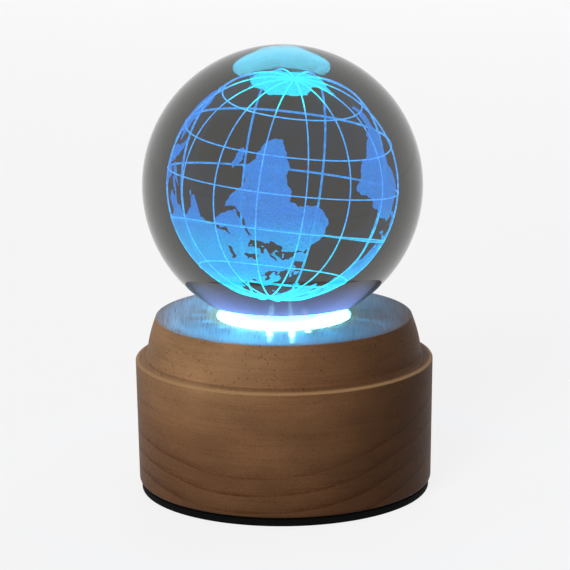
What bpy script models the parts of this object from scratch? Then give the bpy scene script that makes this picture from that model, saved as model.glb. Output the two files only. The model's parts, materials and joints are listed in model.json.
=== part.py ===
"""Crystal ball lamp: a solid crystal ball that sits loose in the dish of a lit milky window,
on a turned two-tier beech base with the board, the cell, the port and the button inside.

Units are metres and +Z is up. The origin is the centre of the pad's underside, the front is -Y,
and the port and the button look out of the back, +Y.
"""

import math

import bmesh
import bpy
from mathutils import Matrix, Vector
from mathutils.geometry import delaunay_2d_cdt

# Fits. GAP is what two touching pieces keep between them, and OVERRUN lets a cutter run past a face.
GAP = 0.0003
OVERRUN = 0.0010

# Crystal ball and the dish that it sits in
BALL_RADIUS = 0.0300
SEAT_MOUTH_RADIUS = 0.0106

# Globe engraved inside the ball, as one thin layer of voids that a fine vent joins to the ball's underside.
# It hangs south pole up. Places are (longitude, latitude), and these and the other angles are in degrees.
GLOBE_RADIUS = 0.0163
ENGRAVING_DEPTH = 0.0003
NET_LINE_WIDTH = 0.0004
VENT_RADIUS = 0.0004
FACING_LONGITUDE = 14.0
GLOBE_LEAN_RIGHT = 7.0
GLOBE_LEAN_BACK = 4.9
MERIDIANS = range(-150, 181, 30)
PARALLELS = (-50.0, -23.4, 0.0, 23.4, 50.0)
MERIDIAN_STOPS = (-80.0, -65.0, -36.0, -12.0, 12.0, 36.0, 67.0, 85.0)
SEAM_LONGITUDE = -168.0
LAND_CAP_LATITUDE = -86.0
HUB_LATITUDE = 84.0
SPOT_STEP = 20
FRONT_LONGITUDE = -90.0
PLACE_DIGITS = 3
ANTARCTIC_COAST = ((-168, -77), (-135, -74), (-100, -73), (-70, -70), (-58, -64), (-62, -74), (-30, -77),
                   (0, -70), (50, -67), (95, -66), (135, -66), (165, -72), (192, -77))
AFRICA = ((-6, 35.5), (10, 37), (11, 33.5), (20, 31), (32, 31), (37, 21), (43, 12), (51, 11.5), (41, -2),
          (40, -15), (35, -24), (31, -31), (19, -34.5), (12, -17), (9, 4), (-8, 4.5), (-17, 15), (-10, 30))
EURASIA = ((-9, 37), (-9, 43), (-1, 44), (-4, 48.5), (8, 54), (20, 55), (30, 60), (22, 61), (25, 65),
           (15, 57), (6, 59), (13, 66), (26, 71), (68, 69), (105, 77), (140, 72), (189, 66), (163, 59),
           (157, 52), (155, 58), (136, 54), (140, 48), (128, 40), (127, 35), (124, 39.5), (118, 38),
           (122, 31), (114, 22), (106, 19), (109, 12), (101, 13), (104, 2), (98, 10), (91, 22), (80, 15),
           (77, 8), (72, 20), (50, 30), (59, 22), (44, 13), (35, 28), (35, 36), (27, 37), (29, 41), (22, 37),
           (19.5, 41), (13.5, 45.5), (18, 40), (16, 38), (8, 44), (3, 43), (-1, 38))
NORTH_AMERICA = ((-79, 8), (-83, 14), (-87, 21), (-97, 19), (-97, 28), (-84, 30), (-81, 25.5), (-76, 36),
                 (-66, 45), (-56, 52), (-78, 62), (-80, 52), (-94, 59), (-82, 67), (-96, 71), (-157, 71),
                 (-165, 62), (-137, 58), (-124, 47), (-121, 34), (-105, 20), (-86, 11))
SOUTH_AMERICA = ((-77, 8), (-72, 12), (-61, 9), (-50, 1), (-35, -6), (-39, -16), (-48, -27), (-58, -37),
                 (-66, -43), (-68, -54), (-75, -48), (-71, -30), (-70, -18), (-81, -5))
AUSTRALIA = ((114, -22), (115, -34), (131, -31), (138, -35), (147, -38), (153, -28), (142, -11),
             (136, -12), (130, -12), (122, -18))
GREENLAND = ((-70, 78), (-35, 82), (-20, 75), (-43, 60), (-53, 68))
MADAGASCAR = ((49, -12), (47, -25), (43.5, -24.5), (44, -16))
LANDS = (AFRICA, EURASIA, NORTH_AMERICA, SOUTH_AMERICA, AUSTRALIA, GREENLAND, MADAGASCAR)

# Turned wooden base, outside: the shoulder is its widest place, and the other radii follow it
SHOULDER_RADIUS = 0.0321
FOOT_INSET = 0.0004
UPPER_TIER_INSET = 0.0025
UPPER_TIER_TAPER = 0.0019
LOWER_TIER_HEIGHT = 0.0269
SHOULDER_RISE = 0.0006
UPPER_TIER_HEIGHT = 0.0086
UPPER_TIER_BELLY = 0.0003
TOP_EDGE_ROUND = 0.0003
COVE_RADIUS = 0.0005
SHOULDER_EDGE_ROUND = 0.0003
FOOT_EDGE_ROUND = 0.0008
WOOD_FOOT_RADIUS = SHOULDER_RADIUS - FOOT_INSET
UPPER_FOOT_RADIUS = SHOULDER_RADIUS - UPPER_TIER_INSET
TOP_RADIUS = UPPER_FOOT_RADIUS - UPPER_TIER_TAPER

# Turned wooden base, inside
WALL_THICKNESS = 0.0077
RABBET_WALL = 0.0031
CROWN_THICKNESS = 0.0085
WINDOW_LEDGE = 0.0020
CAVITY_RADIUS = WOOD_FOOT_RADIUS - WALL_THICKNESS

# Anti-slip pad under the base
PAD_INSET = 0.0005
PAD_HEIGHT = 0.0015
PAD_RADIUS = WOOD_FOOT_RADIUS - PAD_INSET

# Milky window
WINDOW_RADIUS = 0.0142
WINDOW_THICKNESS = 0.0030
WINDOW_EDGE_BEVEL = 0.0002

# Reflector cup under the window
CUP_WALL = 0.0009
CUP_THROAT_RADIUS = 0.0082
CUP_FLANGE_SETBACK = 0.0015
CUP_FLANGE_THICKNESS = 0.0012
CUP_FLANGE_RADIUS = CAVITY_RADIUS - CUP_FLANGE_SETBACK

# Light board
LED_BOARD_INSET = 0.0005
LED_BOARD_THICKNESS = 0.0012
LED_COUNT = 6
LED_RING_RADIUS = 0.0050
LED_WIDTH = 0.0035
LED_DEPTH = 0.0028
LED_HEIGHT = 0.0019
LED_LENS_RADIUS = 0.0011
LED_LENS_DEPTH = 0.0003
RESISTOR_LENGTH = 0.0032
RESISTOR_WIDTH = 0.0016
RESISTOR_HEIGHT = 0.0006
RESISTOR_PITCH = 0.0045
RESISTOR_ROW_Y = 0.0060
RESISTOR_COUNT = 3
LED_BOARD_RADIUS = CUP_FLANGE_RADIUS - LED_BOARD_INSET
LED_SCREW_ANGLES = (90.0, 210.0, 330.0)

# Screws: small round-headed ones for the boards, countersunk ones for the cover
SCREW_SHANK_RADIUS = 0.0009
SCREW_HEAD_RADIUS = 0.0019
SCREW_HEAD_HEIGHT = 0.0013
SCREW_TIP_LENGTH = 0.0010
LED_SCREW_BITE = 0.0040
BOARD_SCREW_BITE = 0.0045
COVER_SCREW_SHANK_RADIUS = 0.0011
COVER_SCREW_HEAD_RADIUS = 0.0021
COVER_SCREW_HEAD_HEIGHT = 0.0012
COVER_SCREW_BITE = 0.0050
COVER_SCREW_ANGLES = (30.0, 150.0, 270.0)

# Bottom cover in its rabbet
COVER_THICKNESS = 0.0020
COVER_EDGE_BEVEL = 0.0003
COVER_RADIUS = WOOD_FOOT_RADIUS - RABBET_WALL - GAP
POST_RADIUS = 0.0026
POST_Y = 0.0040
RIB_THICKNESS = 0.0012
RIB_HEIGHT = 0.0024

# Battery and its pad. The shares are of the cavity's radius.
BATTERY_WIDTH_SHARE = 1.25
BATTERY_LENGTH_SHARE = 0.83
BATTERY_THICKNESS = 0.0040
BATTERY_CORNER = 0.0012
BATTERY_CENTRE_Y = -0.0030
BATTERY_PAD_THICKNESS = 0.0008
BATTERY_PAD_MARGIN = 0.0020
BATTERY_HEADROOM = 0.0014
BATTERY_WIDTH = BATTERY_WIDTH_SHARE * CAVITY_RADIUS
BATTERY_LENGTH = BATTERY_LENGTH_SHARE * CAVITY_RADIUS

# Main board: a D that follows the bore, with a tab that runs out into the wall's opening
BOARD_THICKNESS = 0.0012
BOARD_EDGE_CLEARANCE = 0.0012
BOARD_FRONT_Y = -0.0080
TAB_HALF_WIDTH = 0.0100
TAB_STEP_X = 0.0006

# Charging port
SHELL_WIDTH = 0.00894
SHELL_HEIGHT = 0.00326
SHELL_LENGTH = 0.0073
SHELL_WALL = 0.0003
SHELL_CORNER = 0.0012
PORT_X = -0.0053
PORT_MOUTH_RECESS = 0.0004
TONGUE_WIDTH = 0.0067
TONGUE_THICKNESS = 0.0007
TONGUE_SETBACK = 0.0009
TONGUE_BASE_LENGTH = 0.0018

# Push button, its switch and the travel between them
BUTTON_X = 0.0060
BUTTON_RADIUS = 0.0025
BUTTON_PROUD = 0.0015
BUTTON_TRAVEL = 0.0012
BUTTON_CROWN = 0.0004
BUTTON_FLANGE_WIDTH = 0.0006
BUTTON_FLANGE_THICKNESS = 0.0008
SWITCH_WIDTH = 0.0060
SWITCH_DEPTH = 0.0060
PLUNGER_WIDTH = 0.0024
PLUNGER_HEIGHT = 0.0014
PLUNGER_ENGAGEMENT = 0.0015

# Rear plate in its milled recess
PLATE_WIDTH = 0.0250
PLATE_HEIGHT = 0.0120
PLATE_THICKNESS = 0.0020
PLATE_CORNER = 0.0020
PLATE_EDGE_BEVEL = 0.0003
SPIGOT_HEIGHT = 0.0084
SPIGOT_DEPTH = 0.0015
SPIGOT_CORNER = 0.0010

# Parts on the main board. The shares give each one's place as x and y over the board's radius.
CHIP_WIDTH = 0.0049
CHIP_DEPTH = 0.0039
CHIP_HEIGHT = 0.0015
CHIP_BEVEL = 0.0002
CHARGE_CHIP_SHARES = (-0.44, 0.57)
DRIVER_CHIP_SHARES = (0.40, 0.26)
COIL_SIZE = 0.0050
COIL_HEIGHT = 0.0028
COIL_CORNER = 0.0012
COIL_SHARES = (-0.07, 0.61)
CAPACITOR_RADIUS = 0.0020
CAPACITOR_HEIGHT = 0.0054
CAPACITOR_CRIMP = 0.0003
CAPACITOR_PLACE_SHARES = ((-0.57, 0.31), (-0.33, 0.31))
HEADER_WIDTH = 0.0062
HEADER_DEPTH = 0.0055
HEADER_HEIGHT = 0.0045
HEADER_WALL = 0.0007
HEADER_X_SHARE = -0.44
HEADER_SETBACK = 0.0010
PLUG_PROUD = 0.0020

# Leads
LEAD_RADIUS = 0.00055
LED_LEAD_PITCH = 0.0020
LED_LEAD_TOP_Y = -0.0090
LED_LEAD_FOOT_Y = -0.0030
LED_LEAD_RUN = 0.0030
BATTERY_LEAD_PITCH = 0.0024
BATTERY_LEAD_REACH = 0.0030

# Facets
BALL_SEGMENTS = 40
VENT_SEGMENTS = 8
NET_SEGMENTS = 24
CHART_TOLERANCE = 1e-6
WOOD_SEGMENTS = 48
WINDOW_SEGMENTS = 32
ROUND_SEGMENTS = 24
SMALL_SEGMENTS = 16
ARC_STEPS = 2
BELLY_STEPS = 4
DISH_STEPS = 6
CUP_STEPS = 5
CORNER_STEPS = 3
LEAD_STEPS = 3
LEAD_BEVEL_RESOLUTION = 1
SMOOTH_ANGLE = math.radians(35.0)

# Levels from the table up
WOOD_BOTTOM_Z = PAD_HEIGHT + GAP
SHOULDER_Z = WOOD_BOTTOM_Z + LOWER_TIER_HEIGHT
UPPER_FOOT_Z = SHOULDER_Z + SHOULDER_RISE
TOP_Z = UPPER_FOOT_Z + UPPER_TIER_HEIGHT
ROOF_Z = TOP_Z - CROWN_THICKNESS
COVER_TOP_Z = WOOD_BOTTOM_Z + COVER_THICKNESS
RABBET_TOP_Z = COVER_TOP_Z + GAP

# The ball's centre, from the dish's mouth
DISH_RADIUS = BALL_RADIUS + GAP
BALL_Z = TOP_Z + math.sqrt(DISH_RADIUS ** 2 - SEAT_MOUTH_RADIUS ** 2)

# The light unit, from the window down
WINDOW_BOTTOM_Z = TOP_Z - WINDOW_THICKNESS
POCKET_RADIUS = WINDOW_RADIUS + GAP
POCKET_FLOOR_Z = WINDOW_BOTTOM_Z - GAP
SHAFT_RADIUS = WINDOW_RADIUS - WINDOW_LEDGE
CUP_OUTER_RADIUS = SHAFT_RADIUS - GAP
CUP_MOUTH_RADIUS = CUP_OUTER_RADIUS - CUP_WALL
LED_SCREW_CIRCLE = (SHAFT_RADIUS + LED_BOARD_RADIUS) / 2
FLANGE_TOP_Z = ROOF_Z - GAP
FLANGE_BOTTOM_Z = FLANGE_TOP_Z - CUP_FLANGE_THICKNESS
LED_BOARD_TOP_Z = FLANGE_BOTTOM_Z - GAP
LED_BOARD_BOTTOM_Z = LED_BOARD_TOP_Z - LED_BOARD_THICKNESS

# The stack on the cover, from the cover up
BATTERY_PAD_Z = COVER_TOP_Z + GAP
BATTERY_Z = BATTERY_PAD_Z + BATTERY_PAD_THICKNESS + GAP
BOARD_BOTTOM_Z = BATTERY_Z + BATTERY_THICKNESS + BATTERY_HEADROOM
BOARD_TOP_Z = BOARD_BOTTOM_Z + BOARD_THICKNESS
PART_Z = BOARD_TOP_Z + GAP
PORT_Z = PART_Z + SHELL_HEIGHT / 2
POST_X = BATTERY_WIDTH / 2 + POST_RADIUS + 2 * GAP
COVER_SCREW_CIRCLE = (CAVITY_RADIUS + COVER_RADIUS) / 2
BOARD_RADIUS = CAVITY_RADIUS - BOARD_EDGE_CLEARANCE
HEADER_X = HEADER_X_SHARE * BOARD_RADIUS

# Depths behind the rear plate's face, which meets the round side at the plate's two ends
PLATE_FACE_Y = math.sqrt(WOOD_FOOT_RADIUS ** 2 - (PLATE_WIDTH / 2) ** 2)
PLATE_BACK_Y = PLATE_FACE_Y - PLATE_THICKNESS
RECESS_FLOOR_Y = PLATE_BACK_Y - GAP
SPIGOT_END_Y = PLATE_BACK_Y - SPIGOT_DEPTH
TAB_END_Y = SPIGOT_END_Y - GAP
SPIGOT_WIDTH = 2 * TAB_HALF_WIDTH
OPENING_WIDTH = SPIGOT_WIDTH + 2 * GAP
OPENING_HEIGHT = SPIGOT_HEIGHT + 2 * GAP
BUTTON_FLANGE_FACE_Y = SPIGOT_END_Y - GAP
BUTTON_BACK_Y = BUTTON_FLANGE_FACE_Y - BUTTON_FLANGE_THICKNESS
SWITCH_FACE_Y = BUTTON_BACK_Y - BUTTON_TRAVEL - GAP
SWITCH_HEIGHT = 2 * (PORT_Z - PART_Z)
TAB_SHORT_Y = SWITCH_FACE_Y
SHELL_MOUTH_Y = PLATE_FACE_Y - PORT_MOUTH_RECESS
SHELL_BACK_Y = SHELL_MOUTH_Y - SHELL_LENGTH


# Scene and mesh helpers

def clear_scene():
    """Remove whatever the scene holds."""
    for old in list(bpy.data.objects):
        bpy.data.objects.remove(old, do_unlink=True)


def principled(name, colour, roughness, metallic=0.0, transmission=0.0, emission=0.0):
    """Make one piece's own Principled BSDF material."""
    made = bpy.data.materials.new(name)
    made.use_nodes = True
    shader = made.node_tree.nodes["Principled BSDF"]
    shader.inputs["Base Color"].default_value = (*colour, 1.0)
    shader.inputs["Roughness"].default_value = roughness
    shader.inputs["Metallic"].default_value = metallic
    shader.inputs["Transmission Weight"].default_value = transmission
    shader.inputs["Emission Color"].default_value = (*colour, 1.0)
    shader.inputs["Emission Strength"].default_value = emission
    return made


def add_object(name, data, finish, parent=None):
    """Link data into the scene as a named object with its own finish."""
    made = bpy.data.objects.new(name, data)
    bpy.context.scene.collection.objects.link(made)
    if finish is not None:
        data.materials.append(finish)
    if parent is not None:
        made.parent = parent
    return made


def finish_mesh(name, mesh_edit, finish, parent=None):
    """Close a bmesh into a smooth-shaded object, with its faces pointing out."""
    bmesh.ops.recalc_face_normals(mesh_edit, faces=mesh_edit.faces)
    mesh = bpy.data.meshes.new(name)
    mesh_edit.to_mesh(mesh)
    mesh_edit.free()
    mesh.shade_smooth()
    mesh.set_sharp_from_angle(angle=SMOOTH_ANGLE)
    return add_object(name, mesh, finish, parent)


def add_empty(name, location):
    """Add an empty that carries a moving group on its joint's axis."""
    made = bpy.data.objects.new(name, None)
    bpy.context.scene.collection.objects.link(made)
    made.location = location
    return made


def arc(centre_r, centre_z, radius, start_degrees, end_degrees, steps=ARC_STEPS):
    """Points of a circular arc in the (r, z) plane, both ends included."""
    points = []
    for step in range(steps + 1):
        angle = math.radians(start_degrees + (end_degrees - start_degrees) * step / steps)
        points.append((centre_r + radius * math.cos(angle), centre_z + radius * math.sin(angle)))
    return points


def turned(name, outline, finish, segments=ROUND_SEGMENTS, closed=False, parent=None):
    """Turn an (r, z) outline about Z. An open outline starts and ends on the axis."""
    edit = bmesh.new()
    rings = []
    flat_ends = []
    if not closed:
        flat_start = outline[0][1] == outline[1][1]
        flat_stop = outline[-1][1] == outline[-2][1]
        outline = outline[1:] if flat_start else outline
        outline = outline[:-1] if flat_stop else outline
        flat_ends = [end for end, flat in ((0, flat_start), (-1, flat_stop)) if flat]
    for radius, height in outline:
        if radius == 0:
            rings.append([edit.verts.new((0, 0, height))])
            continue
        ring = []
        for step in range(segments):
            angle = 2 * math.pi * step / segments
            ring.append(edit.verts.new((radius * math.cos(angle), radius * math.sin(angle), height)))
        rings.append(ring)
    pairs = list(zip(rings, rings[1:]))
    if closed:
        pairs.append((rings[-1], rings[0]))
    for first, second in pairs:
        join_rings(edit, first, second, segments)
    for end in flat_ends:
        edit.faces.new(rings[end])
    return finish_mesh(name, edit, finish, parent)


def join_rings(edit, first, second, count):
    """Skin the band between two rings, either of which may be a single pole vertex."""
    for step in range(count):
        after = (step + 1) % count
        corners = [first[step % len(first)], first[after % len(first)],
                   second[after % len(second)], second[step % len(second)]]
        edit.faces.new(list(dict.fromkeys(corners)))


def loft(name, sections, finish, closed=False, parent=None):
    """Skin a row of loops with the same number of points, capped at both ends unless closed."""
    edit = bmesh.new()
    loops = [[edit.verts.new(point) for point in section] for section in sections]
    pairs = list(zip(loops, loops[1:]))
    if closed:
        pairs.append((loops[-1], loops[0]))
    for first, second in pairs:
        join_rings(edit, first, second, len(first))
    if not closed:
        edit.faces.new(loops[0])
        edit.faces.new(loops[-1])
    return finish_mesh(name, edit, finish, parent)


def rounded_loop(width, height, corner, steps=CORNER_STEPS):
    """Points of a rounded rectangle about the origin, anticlockwise."""
    corner = min(corner, width / 2, height / 2)
    points = []
    for sign_x, sign_y, start in ((1, 1, 0.0), (-1, 1, 90.0), (-1, -1, 180.0), (1, -1, 270.0)):
        centre_x = sign_x * (width / 2 - corner)
        centre_y = sign_y * (height / 2 - corner)
        points += arc(centre_x, centre_y, corner, start, start + 90.0, steps)
    return points


def box_loop(width, height):
    """Corners of a rectangle about the origin, anticlockwise."""
    return [(width / 2, height / 2), (-width / 2, height / 2),
            (-width / 2, -height / 2), (width / 2, -height / 2)]


def across_y(loop, centre_x, y, centre_z):
    """Stand a loop up in the plane of a given y."""
    return [(centre_x + across, y, centre_z + up) for across, up in loop]


def across_z(loop, centre_x, centre_y, z):
    """Lay a loop down in the plane of a given z."""
    return [(centre_x + across, centre_y + along, z) for across, along in loop]


def hide_cutter(cutter):
    """Keep a cutter out of the built model."""
    cutter.hide_render = True
    cutter.display_type = "WIRE"
    return cutter


def combine(target, other, operation):
    """Cut, or add, another shape with a Boolean modifier."""
    hide_cutter(other)
    modifier = target.modifiers.new(operation.lower() + "_" + other.name, "BOOLEAN")
    modifier.operation = operation
    modifier.solver = "EXACT"
    modifier.object = other


def cut(target, *cutters):
    """Cut shapes out of a piece."""
    for cutter in cutters:
        combine(target, cutter, "DIFFERENCE")


def place(made, x, y, z, degrees_about_z=0.0):
    """Set a piece on its own place and heading."""
    made.location = (x, y, z)
    made.rotation_euler = (0.0, 0.0, math.radians(degrees_about_z))
    return made


def on_circle(radius, degrees):
    """The (x, y) of a place on a bolt circle."""
    return radius * math.cos(math.radians(degrees)), radius * math.sin(math.radians(degrees))


def rod_cutter(name, radius, x, y, bottom_z, top_z, segments=SMALL_SEGMENTS):
    """An upright round cutter, turned half a facet so that its corners miss the radial edges it cuts."""
    made = turned(name, [(0, bottom_z), (radius, bottom_z), (radius, top_z), (0, top_z)], None, segments)
    return place(made, x, y, 0, 180.0 / segments)


# Crystal ball

def build_ball():
    """The solid ball with its engraving, parented to an empty on the axis that it turns about in its dish.
    It is made about the globe's own axis, north up, and then turned over and leant as in the photo."""
    turntable = add_empty("ball_turn_axis", (0, 0, BALL_Z))
    edit = bmesh.new()
    vent_degrees = math.degrees(math.acos(VENT_RADIUS / BALL_RADIUS))
    latitudes = [-90.0 + 360.0 * step / BALL_SEGMENTS for step in range(1, BALL_SEGMENTS // 2)]
    rings = [[edit.verts.new((0, 0, -BALL_RADIUS))]]
    rings += [ball_ring(edit, latitude, BALL_SEGMENTS) for latitude in latitudes]
    for first, second in zip(rings, rings[1:]):
        join_rings(edit, first, second, BALL_SEGMENTS)
    mouth = ball_ring(edit, vent_degrees, VENT_SEGMENTS)
    join_unlike_rings(edit, mouth, rings[-1])
    join_rings(edit, mouth, add_engraving(edit), VENT_SEGMENTS)

    upright = Matrix.Rotation(math.radians(FRONT_LONGITUDE - FACING_LONGITUDE), 4, "Z")
    turned_over = Matrix.Rotation(math.pi, 4, "Y") @ upright
    leant = (Matrix.Rotation(math.radians(GLOBE_LEAN_RIGHT), 4, "Y")
             @ Matrix.Rotation(-math.radians(GLOBE_LEAN_BACK), 4, "X") @ turned_over)
    bmesh.ops.transform(edit, matrix=leant, verts=edit.verts)
    glass = principled("crystal", (0.80, 0.82, 0.85), 0.02, transmission=1.0)
    return finish_mesh("crystal_ball", edit, glass, turntable)


def ball_ring(edit, latitude, segments):
    """A ring of the ball's skin, its first point on the globe's seam."""
    return [edit.verts.new(globe_place(SEAM_LONGITUDE + 360.0 * step / segments, latitude, BALL_RADIUS))
            for step in range(segments)]


def join_unlike_rings(edit, few, many):
    """Skin the band between a ring and one with a whole number of times its points."""
    times = len(many) // len(few)
    for step, corner in enumerate(few):
        edge = [many[(step * times + place) % len(many)] for place in range(times + 1)]
        for start, stop in zip(edge, edge[1:]):
            edit.faces.new([corner, start, stop])
        edit.faces.new([corner, edge[-1], few[(step + 1) % len(few)]])


def globe_place(longitude, latitude, radius):
    """The point over a place, with the north pole along +Z."""
    across = math.radians(longitude)
    up = math.radians(latitude)
    return radius * Vector((math.cos(up) * math.cos(across), math.cos(up) * math.sin(across), math.sin(up)))


def line_half_degrees():
    """Half the width of an engraved line, as seen from the ball's centre."""
    return math.degrees(NET_LINE_WIDTH / 2 / GLOBE_RADIUS)


def vent_latitude():
    """The latitude on the engraving at which the vent opens into it."""
    return math.degrees(math.acos(VENT_RADIUS / GLOBE_RADIUS))


def meridian_strips():
    """The outlines of the engraved meridians on the chart, as wide in the ball at every latitude."""
    strips = []
    for longitude in MERIDIANS:
        widths = [line_half_degrees() / math.cos(math.radians(stop)) for stop in MERIDIAN_STOPS]
        east = [(longitude + width, stop) for width, stop in zip(widths, MERIDIAN_STOPS)]
        west = [(longitude - width, stop) for width, stop in zip(widths, MERIDIAN_STOPS)]
        strips.append(east + west[::-1])
    return strips


def chart_row(latitude, segments):
    """Points along a whole parallel on the chart, from the seam to the seam."""
    return [(SEAM_LONGITUDE + 360.0 * step / segments, latitude) for step in range(segments + 1)]


def inside(place, outline):
    """Whether a place on the chart lies inside an outline."""
    found = False
    for start, stop in zip(outline, outline[1:] + outline[:1]):
        if (start[1] > place.y) != (stop[1] > place.y):
            if place.x < start[0] + (place.y - start[1]) / (stop[1] - start[1]) * (stop[0] - start[0]):
                found = not found
    return found


def chart_lines(lands):
    """The engraving's outlines on the chart, as points and edges, without what of the net lies in land."""
    half = line_half_degrees()
    coast = [(float(longitude), float(latitude)) for longitude, latitude in ANTARCTIC_COAST]
    rows = [coast, chart_row(LAND_CAP_LATITUDE, VENT_SEGMENTS), chart_row(vent_latitude(), VENT_SEGMENTS),
            chart_row(HUB_LATITUDE, NET_SEGMENTS)]
    rows += [chart_row(latitude + side * half, NET_SEGMENTS) for latitude in PARALLELS for side in (-1, 1)]
    points = []
    edges = []
    coasts = [land + land[:1] for land in lands]
    for line in coasts + rows + [strip + strip[:1] for strip in meridian_strips()]:
        edges += [(len(points) + step, len(points) + step + 1) for step in range(len(line) - 1)]
        points += line
    coast_edges = sum(len(land) for land in lands)
    places, parts, _, _, sources, _ = delaunay_2d_cdt([Vector(point) for point in points], edges, [], 0,
                                                      CHART_TOLERANCE)
    kept = []
    for (start, stop), origin in zip(parts, sources):
        middle = (places[start] + places[stop]) / 2
        on_coast = any(source < coast_edges for source in origin)
        if origin and (on_coast or not any(inside(middle, land) for land in lands)):
            kept.append((start, stop))
    used = sorted({corner for edge in kept for corner in edge})
    order = {corner: number for number, corner in enumerate(used)}
    return [places[corner] for corner in used], [(order[start], order[stop]) for start, stop in kept]


def engraved_faces():
    """Triangulate a chart of the globe, and keep what is land or a line of the net, as corners' places."""
    half = line_half_degrees()
    lands = [[(float(longitude), float(latitude)) for longitude, latitude in outline] for outline in LANDS]
    points, edges = chart_lines(lands)
    spots = [Vector((longitude, latitude)) for longitude in range(-180, 180, SPOT_STEP)
             for latitude in range(-80, 90, SPOT_STEP)]
    points += [spot for spot in spots if any(inside(spot, land) for land in lands)]
    places, _, faces, *_ = delaunay_2d_cdt(points, edges, [], 0, CHART_TOLERANCE)
    coast = [(float(longitude), float(latitude)) for longitude, latitude in ANTARCTIC_COAST]
    antarctica = coast + [(coast[-1][0], -90.0), (coast[0][0], -90.0)]
    outlines = lands + meridian_strips() + [antarctica]
    kept = []
    for face in faces:
        corners = [places[corner] for corner in face]
        middle = sum(corners, Vector((0, 0))) / len(corners)
        on_row = middle.y > HUB_LATITUDE or any(abs(middle.y - latitude) < half for latitude in PARALLELS)
        if on_row or any(inside(middle, outline) for outline in outlines):
            kept.append(corners)
    return kept


def place_key(place):
    """One name for a place on the chart, the same on both sides of the seam."""
    return round((place.x - SEAM_LONGITUDE) % 360.0, PLACE_DIGITS) % 360.0, round(place.y, PLACE_DIGITS)


def add_engraving(edit):
    """Add the engraving's walls to the ball's mesh, and return the ring where the vent opens into it."""
    keyed = [[place_key(place) for place in face] for face in engraved_faces()]
    keyed = [face for face in keyed if len(set(face)) == len(face)]
    layers = []
    for side in (1, -1):
        radius = GLOBE_RADIUS + side * ENGRAVING_DEPTH / 2
        layers.append({key: edit.verts.new(globe_place(key[0] + SEAM_LONGITUDE, key[1], radius))
                       for key in sorted({key for face in keyed for key in face})})
    outer, inner = layers
    sides = {(start, stop) for face in keyed for start, stop in zip(face, face[1:] + face[:1])}
    for face in keyed:
        edit.faces.new([outer[key] for key in face])
        edit.faces.new([inner[key] for key in reversed(face)])
    ends = (round(vent_latitude(), PLACE_DIGITS), LAND_CAP_LATITUDE)
    for start, stop in sorted(sides):
        if (stop, start) not in sides and not (start[1] == stop[1] and start[1] in ends):
            edit.faces.new([outer[stop], outer[start], inner[start], inner[stop]])
    vent, cap = [sorted(key for key in outer if key[1] == end) for end in ends]
    edit.faces.new([inner[key] for key in vent])
    edit.faces.new([inner[key] for key in cap])
    edit.faces.new([outer[key] for key in cap])
    return [outer[key] for key in vent]


# Turned wooden base

def wood_outside():
    """The outside of the base, from the top face down to the foot."""
    outline = arc(TOP_RADIUS - TOP_EDGE_ROUND, TOP_Z - TOP_EDGE_ROUND, TOP_EDGE_ROUND, 90.0, 0.0)
    start_z = TOP_Z - TOP_EDGE_ROUND
    end_z = UPPER_FOOT_Z + COVE_RADIUS
    for step in range(1, BELLY_STEPS + 1):
        share = step / BELLY_STEPS
        belly = 4 * share * (1 - share) * UPPER_TIER_BELLY
        radius = TOP_RADIUS + (UPPER_FOOT_RADIUS - TOP_RADIUS) * share + belly
        outline.append((radius, start_z + (end_z - start_z) * share))
    outline += arc(UPPER_FOOT_RADIUS + COVE_RADIUS, UPPER_FOOT_Z + COVE_RADIUS, COVE_RADIUS, 180.0, 270.0)[1:]
    outline += shoulder_curve()
    outline += arc(WOOD_FOOT_RADIUS - FOOT_EDGE_ROUND, WOOD_BOTTOM_Z + FOOT_EDGE_ROUND, FOOT_EDGE_ROUND,
                   0.0, -90.0)
    return outline


def shoulder_curve():
    """The shoulder's slightly domed ledge and its edge, down to the lower tier's side."""
    start_radius = UPPER_FOOT_RADIUS + COVE_RADIUS
    end_radius = SHOULDER_RADIUS - SHOULDER_EDGE_ROUND
    points = []
    for step in range(1, ARC_STEPS + 1):
        share = step / ARC_STEPS
        radius = start_radius + (end_radius - start_radius) * share
        points.append((radius, UPPER_FOOT_Z - SHOULDER_RISE * share ** 2))
    points += arc(end_radius, SHOULDER_Z - SHOULDER_EDGE_ROUND, SHOULDER_EDGE_ROUND, 90.0, 0.0)[1:]
    return points


def wood_inside():
    """The bores from the foot up to the window's pocket."""
    rabbet_radius = COVER_RADIUS + GAP
    return [(rabbet_radius, WOOD_BOTTOM_Z), (rabbet_radius, RABBET_TOP_Z),
            (CAVITY_RADIUS, RABBET_TOP_Z), (CAVITY_RADIUS, ROOF_Z),
            (SHAFT_RADIUS, ROOF_Z), (SHAFT_RADIUS, POCKET_FLOOR_Z),
            (POCKET_RADIUS, POCKET_FLOOR_Z), (POCKET_RADIUS, TOP_Z)]


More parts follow.
